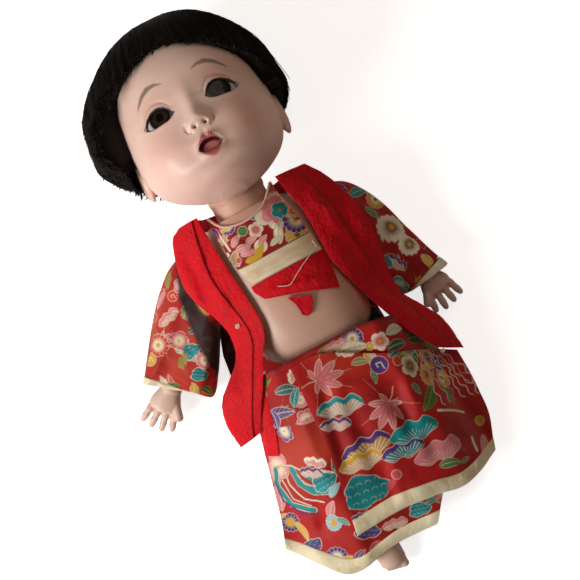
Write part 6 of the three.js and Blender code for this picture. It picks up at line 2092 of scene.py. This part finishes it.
# the back between its two sides, row by row from the hips to the nape
def makeKimonoBack():
    sides = np.array(kimonoBackShares) * reach
    rightSide = np.concatenate([sides[1:7][::-1]])
    leftSide = np.concatenate([sides[7:], sides[:1]])
    rows, cols = 117, 97
    u, v = gridShares(rows, cols)
    y = -48.5 + (68 + 48.5) * v
    left = np.interp(y[:, 0], leftSide[:, 1], leftSide[:, 0])[:, None]
    right = np.interp(y[:, 0], rightSide[:, 1], rightSide[:, 0])[:, None]
    x = left + (right - left) * u
    top = np.stack([x, y, 1.3 + 0.5 * cloudy(x, y, 16, 2)], -1)
    under = np.stack([x, y, 0 * x + 0.1], -1)
    paint = paintPrint(x, y, redGround(x, y, 81), strewn((-55, -48), (55, 68), 36, 83, (8, 14)))
    # painted shadow on the back beside the right sleeve, joining the sleeve's painted gap
    paint = mix(paint, colour("24060a"), 0.9 * ease((-x - 40) / 5) * ease((24 - y) / 12))
    back = clothPiece("silk_kimono_back", top, under, 4, printedSilk, paint)
    clothSheet(back, (0.112, 0.117), "laid", ["floor"], "kimono_back", "trunk")


makeKimonoBack()


# torso and limbs

# the belly's tone is an older, browner gofun, and darker still as painted shade
fleshTone = {"belly": colour("c9a390"), "warm": colour("e2ab98"), "shade": colour("d99c88"),
             "limb": colour("e2c4b4")}


# closed limb along a path: round rings with a width and a thickness at each step, ends domed
def limbRings(path, wide, thick, cols, up=(0, 0, 1), power=2.0):
    path = np.asarray(path, float)
    ahead = np.gradient(path, axis=0)
    ahead /= np.linalg.norm(ahead, axis=1, keepdims=True)
    across = np.cross(ahead, np.asarray(up, float))
    across /= np.linalg.norm(across, axis=1, keepdims=True)
    upward = np.cross(across, ahead)
    angle = np.linspace(0, 2 * np.pi, cols, endpoint=False)
    a, b = rounded(angle, 1.0, 1.0, power)
    out = across[:, None] * (np.asarray(wide)[:, None] * a)[..., None]
    rise = upward[:, None] * (np.asarray(thick)[:, None] * b)[..., None]
    return path[:, None] + out + rise


# a direction: a vector over its own length
def unit(way):
    return way / np.linalg.norm(way)


# share of the width left toward a rounded tip: the root of one less the square of the share past its start
def tipped(t, start, span, least=0.06):
    return np.sqrt(np.clip(1 - np.clip((t - start) / span, 0, 1) ** 2, least, 1))


# stuffed cotton, a little browner in patches, with the plain tone at both ends
def cottonPaint(rings, seed):
    patches = 0.6 * ease(cloudy(rings[..., 0] + rings[..., 2], rings[..., 1], 8, seed) * 2 - 0.6)
    tint = mix(np.broadcast_to(colour("d9c8a8"), rings.shape), colour("b39c76"), patches)
    return np.concatenate([tint.reshape(-1, 3), [colour("d9c8a8")] * 2])


# path through places given as shares, even in its own parameter
def limbPath(places, t):
    return outline(np.asarray(places) / reach)(t)


# skin tone with slow warm patches and finer dark ones
def fleshPaint(points, base, seed=1):
    x, y, z = points[..., 0], points[..., 1], points[..., 2]
    tint = np.broadcast_to(base, points.shape)
    tint = mix(tint, fleshTone["warm"], 0.35 * ease(cloudy(x + z, y, 22, seed) * 2 - 0.7))
    return mix(tint, fleshTone["shade"], 0.25 * ease(cloudy(x, y + z, 6, seed + 3) * 2.6 - 1.3))


# torso: rings from neck to hips, closer at both ends by a cosine
def makeTorso():
    facts = torsoSettings
    rows, cols = 150, 180
    share = (1 - np.cos(np.pi * np.linspace(0.004, 0.996, rows))) / 2
    y = facts["topY"] + (facts["bottomY"] - facts["topY"]) * share
    middle, z, width, depth = torsoAt(y)
    angle = np.linspace(0, 2 * np.pi, cols, endpoint=False)
    a, b = rounded(angle[None, :], (width - 0.15)[:, None], (depth - 0.15)[:, None], facts["power"])
    x = middle[:, None] + a
    rings = np.stack([x, np.broadcast_to(y[:, None], x.shape), z[:, None] + b], -1)
    tint = fleshPaint(rings, fleshTone["belly"], 4)
    ends = [(middle[0], facts["topY"] - 0.05, z[0]), (middle[-1], facts["bottomY"] + 0.05, z[-1])]
    paint = np.concatenate([tint.reshape(-1, 3), [fleshTone["belly"]] * 2])
    torso = skinPiece("torso_shell", rings, ends, gofun, paint)
    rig.replaces(torso, "torso")
    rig.slot(torso, "gofun")
    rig.ride(torso, "trunk")


armSettings = {
    "shoulder": 12.0, "upper": 12.6, "elbow": 10.5, "forearm": 10.4, "wrist": 7.4, "palmWide": 11.0,
    "palmThick": 6.2,
    "finger": 3.0, "fingerLong": 14.0, "thumb": 3.3, "thumbRise": 3.1, "sunk": 2.5, "shoulderY": 40.0,
    "shoulderZ": 29.0,
    "inside": 0.3, "start": 9.4, "voxel": 0.55, "fingers": ((-0.72, 0.8), (-0.25, 1), (0.22, 0.98),
                                                            (0.68, 0.86)),
}


# shoulder: beside the torso by the arm's radius, less what it is sunk
def shoulderPlace(side):
    arm = armSettings
    middle, _, width, _ = torsoAt(arm["shoulderY"])
    out = float(width) + arm["shoulder"] - arm["sunk"]
    return np.array([float(middle) + side * out, arm["shoulderY"], arm["shoulderZ"]])


# adds a closed limb to the list, its faces turned outward by the sign of its volume
def addPart(parts, rings, paint):
    quads, triangles = skinFaces(*rings.shape[:2])
    base = sum(len(part[0]) for part in parts)
    first = rings[0].mean(0) - (rings[1].mean(0) - rings[0].mean(0)) * 0.4
    last = rings[-1].mean(0) + (rings[-1].mean(0) - rings[-2].mean(0)) * 0.4
    points = np.concatenate([rings.reshape(-1, 3), [first, last]])
    a, b, c = points[quads[:, 0]], points[quads[:, 1]], points[quads[:, 2]]
    if np.sum((a - first) * np.cross(b - first, c - first)) < 0:
        quads, triangles = quads[:, ::-1], triangles[:, ::-1]
    tint = np.broadcast_to(paint, (*rings.shape[:2], 3)).reshape(-1, 3)
    parts.append((points, quads + base, triangles + base, tint))


# one piece from the listed limbs, each end point painted as the place next to it
def joinParts(name, parts, material):
    points, quads, triangles = (np.concatenate([part[k] for part in parts]) for k in range(3))
    paint = np.concatenate([tint for part in parts for tint in (part[3], part[3][:1], part[3][-1:])])
    return makePiece(name, points, quads, triangles, material, paint)


# one surface from several closed ones: a voxel remesh, then smoothing, then the paint by place
def melted(piece, voxel, smooth, painter):
    remesh = piece.modifiers.new("melt", "REMESH")
    remesh.mode = "VOXEL"
    remesh.voxel_size = voxel * mm
    relax = piece.modifiers.new("relax", "SMOOTH")
    relax.iterations = smooth
    relax.factor = 0.5
    evaluated = piece.evaluated_get(bpy.context.evaluated_depsgraph_get())
    mesh = bpy.data.meshes.new_from_object(evaluated)
    piece.modifiers.clear()
    old = piece.data
    piece.data = mesh
    bpy.data.meshes.remove(old)
    for layer in list(mesh.color_attributes):
        mesh.color_attributes.remove(layer)
    spots = np.zeros(len(mesh.vertices) * 3, np.float32)
    mesh.vertices.foreach_get("co", spots)
    spots = spots.reshape(-1, 3) / mm
    layer = mesh.color_attributes.new("paint", "FLOAT_COLOR", "POINT")
    full = np.ones((len(spots), 4), np.float32)
    full[:, :3] = painter(spots)
    layer.data.foreach_set("color", full.ravel())
    mesh.shade_smooth()
    return piece


# arm: a stuffed upper arm, then forearm, palm, four fingers and thumb along their paths
def makeArm(name):
    arm = armSettings
    side = 1 if name == "left" else -1
    shoulder = shoulderPlace(side)
    elbow, wrist, tip = (armPlace(name, joint) for joint in ("elbow", "wrist", "tip"))

    # stuffed upper arm: a round limb with a dome at each end and fine puckers along it
    along, span = unit(elbow - shoulder), np.linalg.norm(elbow - shoulder)
    t = np.linspace(0, 1, 40)
    radius = through([0, 0.3, 0.7, 1], [arm["shoulder"], arm["upper"], arm["upper"] * 0.94, arm["elbow"]], t)
    rise, fall = (np.linspace(*turn, 8) * np.pi / 2 for turn in ((0.12, 1), (1, 0.12)))
    dome = np.concatenate([np.sin(rise), np.ones(24), np.sin(fall)])
    far = np.concatenate([-arm["shoulder"] * np.cos(rise), np.linspace(0, span, 24),
                          span + arm["elbow"] * np.cos(fall)])
    path = shoulder + far[:, None] * along
    pucker = 0.25 * np.cos(np.linspace(0, 30, 40))
    size = radius * dome - arm["inside"] + pucker * 0.4 * dome
    rings = limbRings(path, size, size, 48)
    ends = [path[0] - along * 0.2, path[-1] + along * 0.2]
    upper = skinPiece(f"cotton_arm_{name}", rings, ends, cottonCloth, cottonPaint(rings, 3))
    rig.padded(upper, fill=0.85)
    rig.replaces(upper, f"upper_arm_{name}")
    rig.slot(upper, "cotton")
    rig.ride(upper, f"arm_{name}")

    # forearm, palm and fingers, melted into one
    forward, hand = unit(wrist - elbow), unit(tip - wrist)
    start = elbow + forward * arm["start"]
    parts = []
    t = np.linspace(0, 1, 30)
    slim = through([0, 0.2, 0.4, 0.6, 0.8, 1], [1, 1.03, 1.01, 0.93, 0.8, 0.72], t) * arm["forearm"]
    slim = slim * np.clip(0.8 + t * 4, 0.8, 1)
    addPart(parts, limbRings(start + (wrist - start) * t[:, None], slim, slim, 32), fleshTone["limb"])
    palmEnd = wrist + (tip - wrist) * 0.55
    wide = arm["wrist"] + (arm["palmWide"] - arm["wrist"]) * ease(t * 1.4)
    shape = tipped(t, 0.82, 0.2, 0.05)
    thick = arm["palmThick"] * (0.7 + 0.3 * shape) * (1 + 0.12 * (1 - t))
    palm = wrist - forward * 3 + (palmEnd - wrist + forward * 3) * t[:, None]
    addPart(parts, limbRings(palm, wide * shape, thick, 32), fleshTone["limb"])
    across = np.array([-hand[1], hand[0], 0]) * side
    s = np.linspace(0, 1, 18)[:, None]
    bulge = np.sin(np.pi * s)
    for place, long in arm["fingers"]:
        root = palmEnd + across * place * arm["palmWide"] - hand * 5
        length = arm["fingerLong"] * long + 5
        end = (root + (hand + across * place * 0.3) * length
               - np.array([0, 0, arm["fingerLong"] * long * 0.12]))
        path = root + (end - root) * s + np.array([0, 0, 1.6]) * bulge
        size = (arm["finger"] * (1 - 0.25 * s[:, 0]) * (1 + 0.06 * np.cos(s[:, 0] * 18))
                * tipped(s[:, 0], 0.86, 0.15))
        addPart(parts, limbRings(path, size, size * 0.95, 18), fleshTone["limb"])
    root = wrist + (palmEnd - wrist) * 0.35 - across * 0.5 * arm["palmWide"]
    end = (root + hand * arm["fingerLong"] * 0.85 - across * arm["fingerLong"] * 0.62
           + np.array([0, 0, arm["thumbRise"]]))
    size = arm["thumb"] * tipped(s[:, 0], 0.84, 0.17)
    path = root + (end - root) * s + np.array([0, 0, 1.0]) * bulge
    addPart(parts, limbRings(path, size, size, 18), fleshTone["limb"])

    def painter(points):
        tint = fleshPaint(points, fleshTone["limb"], 7 + side)
        reachAlong = (points - palmEnd) @ hand
        tips = ease((reachAlong - 10) / 7)
        creasesAt = bell((reachAlong - 1.0) / 0.9) * 0.5 + bell((reachAlong - 6.5) / 0.6) * 0.25
        tint = mix(tint, colour("dd9584"), 0.5 * tips)
        return mix(tint, colour("cf8d78"), np.clip(creasesAt, 0, 1) * 0.5)

    forearm = melted(joinParts(f"forearm_shell_{name}", parts, gofun), arm["voxel"], 6, painter)
    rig.replaces(forearm, f"forearm_{name}")
    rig.slot(forearm, "gofun")
    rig.ride(forearm, f"hand_{name}")


legShares = {
    "right": {"bind": (-0.132, -0.93, 0.314), "knee": (-0.15, -1.12, 0.36), "calf": (-0.18, -1.44, 0.25),
              "ankle": (-0.2, -1.74, 0.143), "toe": (-0.18, -2.05, 0.07)},
    "left": {"bind": (0.261, -0.93, 0.314), "knee": (0.25, -1.12, 0.36), "calf": (0.23, -1.4, 0.25),
             "ankle": (0.215, -1.6, 0.143), "toe": (0.18, -1.78, 0.075)}}


legSettings = {
    "thigh": 18.5, "shin": 15.5, "calf": 14.5, "ankle": 10, "toesWide": 9.5, "toesHigh": 7.5, "inside": 0.3,
    "voxel": 0.6,
    "hipMiddle": 9, "hipOut": 19.0, "hipY": -60.0, "hipZ": 23.5, "toeSpread": 8.2, "toeLong": 7.0,
    "toes": ((-0.72, 3.1), (-0.3, 2.4), (0.05, 2.3), (0.38, 2.2), (0.68, 2.0)),
}


# leg: a stuffed thigh, then a shin along a curve, a flattening foot and five toes
def makeLeg(name):
    leg = legSettings
    side = 1 if name == "left" else -1
    bind, knee, calf, ankle, toe = (np.array(place) * reach for place in legShares[name].values())

    # stuffed thigh: a round limb with a dome at the hip and a soft end at its binding
    hip = np.array([leg["hipMiddle"] + side * leg["hipOut"], leg["hipY"], leg["hipZ"]])
    along, span = unit(bind - hip), np.linalg.norm(bind - hip)
    t = np.linspace(0, 1, 48)
    radius = through([0, 0.4, 0.8, 1], [leg["thigh"] * share for share in (1, 0.99, 0.93, 0.82)], t)
    rise = np.linspace(0.1, 1, 12) * np.pi / 2
    softEnd = np.sqrt(np.clip(1 - np.linspace(0, 0.97, 6) ** 2 * 0.3, 0, 1))
    far = np.concatenate([-leg["thigh"] * np.cos(rise), np.linspace(0, span, 30),
                          span + np.linspace(0, 0.2, 6)])
    size = radius * np.concatenate([np.sin(rise), np.ones(30), softEnd]) - leg["inside"]
    path = hip + far[:, None] * along
    rings = limbRings(path, size, size, 56)
    ends = [path[0] - along * 0.2, path[-1] + along * 0.1]
    thigh = skinPiece(f"cotton_thigh_{name}", rings, ends, cottonCloth, cottonPaint(rings, 5))
    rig.padded(thigh, fill=0.85)
    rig.replaces(thigh, f"thigh_{name}")
    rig.slot(thigh, "cotton")
    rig.ride(thigh, f"leg_{name}")

    # shin, foot and toes, melted into one
    parts = []
    t = np.linspace(0, 1, 50)
    start = bind + unit(knee - bind) * 0.9
    widths = [leg["shin"] * 0.94, leg["shin"], leg["calf"], leg["ankle"], leg["ankle"]]
    radii = through([0, 0.2, 0.5, 0.85, 1], widths, t) - 0.2
    addPart(parts, limbRings(limbPath([start, knee, calf, ankle], t), radii, radii, 44), fleshTone["limb"])
    t = np.linspace(-0.1, 1, 34)
    wide, high = (leg["ankle"] + (leg[end] - leg["ankle"]) * ease(t) for end in ("toesWide", "toesHigh"))
    shape = tipped(t, 0.8, 0.22)
    path = limbPath([ankle, ankle + (toe - ankle) * 0.6, toe], np.clip(t, 0, 1))
    path = path - (toe - ankle) * np.clip(-t, 0, 1)[:, None]
    addPart(parts, limbRings(path, wide * shape, high * shape, 36), fleshTone["limb"])
    down = unit(toe - ankle)
    across = unit(np.cross(down, [0, 0, 1]))
    s = np.linspace(0, 1, 14)[:, None]
    for i, (place, size) in enumerate(leg["toes"]):
        root = toe + across * place * leg["toeSpread"] * side * -1 - down * (2.5 + 1.2 * i * 0.6)
        r = size * tipped(s[:, 0], 0.7, 0.31)
        path = root + down * s * leg["toeLong"] + np.array([0, 0, 0.8 - 0.5 * i * 0.3])
        addPart(parts, limbRings(path, r, r * 0.9, 16), fleshTone["limb"])

    def painter(points):
        tint = fleshPaint(points, fleshTone["limb"], 17 + side)
        return mix(tint, colour("dd9584"), 0.45 * ease(((points - toe) @ down + 1) / 6))

    shin = melted(joinParts(f"leg_shell_{name}", parts, gofun), leg["voxel"], 6, painter)
    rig.replaces(shin, f"lower_leg_{name}")
    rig.slot(shin, "gofun")
    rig.ride(shin, f"leg_{name}")


makeTorso()
for side in ("right", "left"):
    makeArm(side)
    makeLeg(side)
print("torso and limbs made")


# thread bindings and the neck peg keep their solids, with their own finishes
def finishNode(node, material):
    mesh = bpy.data.objects[node].data if node in bpy.data.objects else frame["nodes"][node].data
    mesh.materials.clear()
    mesh.materials.append(material)


for node in ("arm_binding_right", "arm_binding_left", "leg_binding_right", "leg_binding_left"):
    finishNode(node, threadWax)
finishNode("neck_peg", pegWood)


# loose sewing thread on the satin band, and the knots on the crepe

threadSettings = {
    "radius": 0.25, "lift": 3.0, "shade": "f3ead8",
    "line": [(-3, 5.6), (4.5, 3.2), (12, 7.5), (19, 11.5), (27, 15.5), (31, 17.2), (30.5, 22.5)],
    "knots": {"knot_right": (-38.5, -5.5), "knot_left": (76.5, -83.5)},
}


# loose thread along its line above the torso, declared as a cord, and the two knots
def makeThreads():
    facts = threadSettings
    t = np.linspace(0, 1, 90)
    flat = outline(np.array(facts["line"]) / reach)(t)
    path = np.concatenate([flat, (torsoFront(flat[:, 0], flat[:, 1]) + facts["lift"])[:, None]], 1)
    tint = np.array([colour(facts["shade"])])
    thread = strandPiece("loose_thread", path[None], np.full((1, 90), facts["radius"]), 8, creamSilk, tint)
    length = float(np.linalg.norm(np.diff(path, axis=0), axis=1).sum()) * mm
    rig.cord(thread, exit=tuple(path[0] * mm), length=length, diameter=2 * facts["radius"] * mm,
            far_end="bare",
            path=[tuple(spot) for spot in path * mm])
    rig.slot(thread, "thread")
    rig.ride(thread, "trunk")
    # a knot is three small turns and a cut end, standing on the crepe below it
    for name, (x, y) in facts["knots"].items():
        band = bpy.data.objects["crepe_band_right" if x < 0 else "crepe_band_left"].data
        spots = np.zeros(len(band.vertices) * 3, np.float32)
        band.vertices.foreach_get("co", spots)
        spots = spots.reshape(-1, 3) / mm
        close = np.hypot(spots[:, 0] - x, spots[:, 1] - y) < 2.5
        high = spots[close, 2].max() if close.any() else 30
        angle = np.linspace(0, 6 * np.pi, 70)
        size = 0.9 + 0.5 * np.sin(angle * 0.37)
        knot = np.stack([x + size * np.cos(angle), y + size * np.sin(angle * 1.07),
                         high + 0.35 + 0.25 * np.sin(angle * 0.5)], -1)
        piece = strandPiece(f"thread_{name}", knot[None], np.full((1, 70), 0.3), 8, creamSilk, tint)
        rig.slot(piece, "thread")
        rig.ride(piece, "trunk")


makeThreads()
print("threads made")


# writes the bounds of the solids and of the finished doll
def sizeNote():
    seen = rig.bounds()
    with open("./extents.json", "w") as out:
        json.dump({"cad": [list(map(float, corner)) for corner in cadBounds],
                   "visual": [list(map(float, corner)) for corner in seen]}, out)


sizeNote()
print("size written")
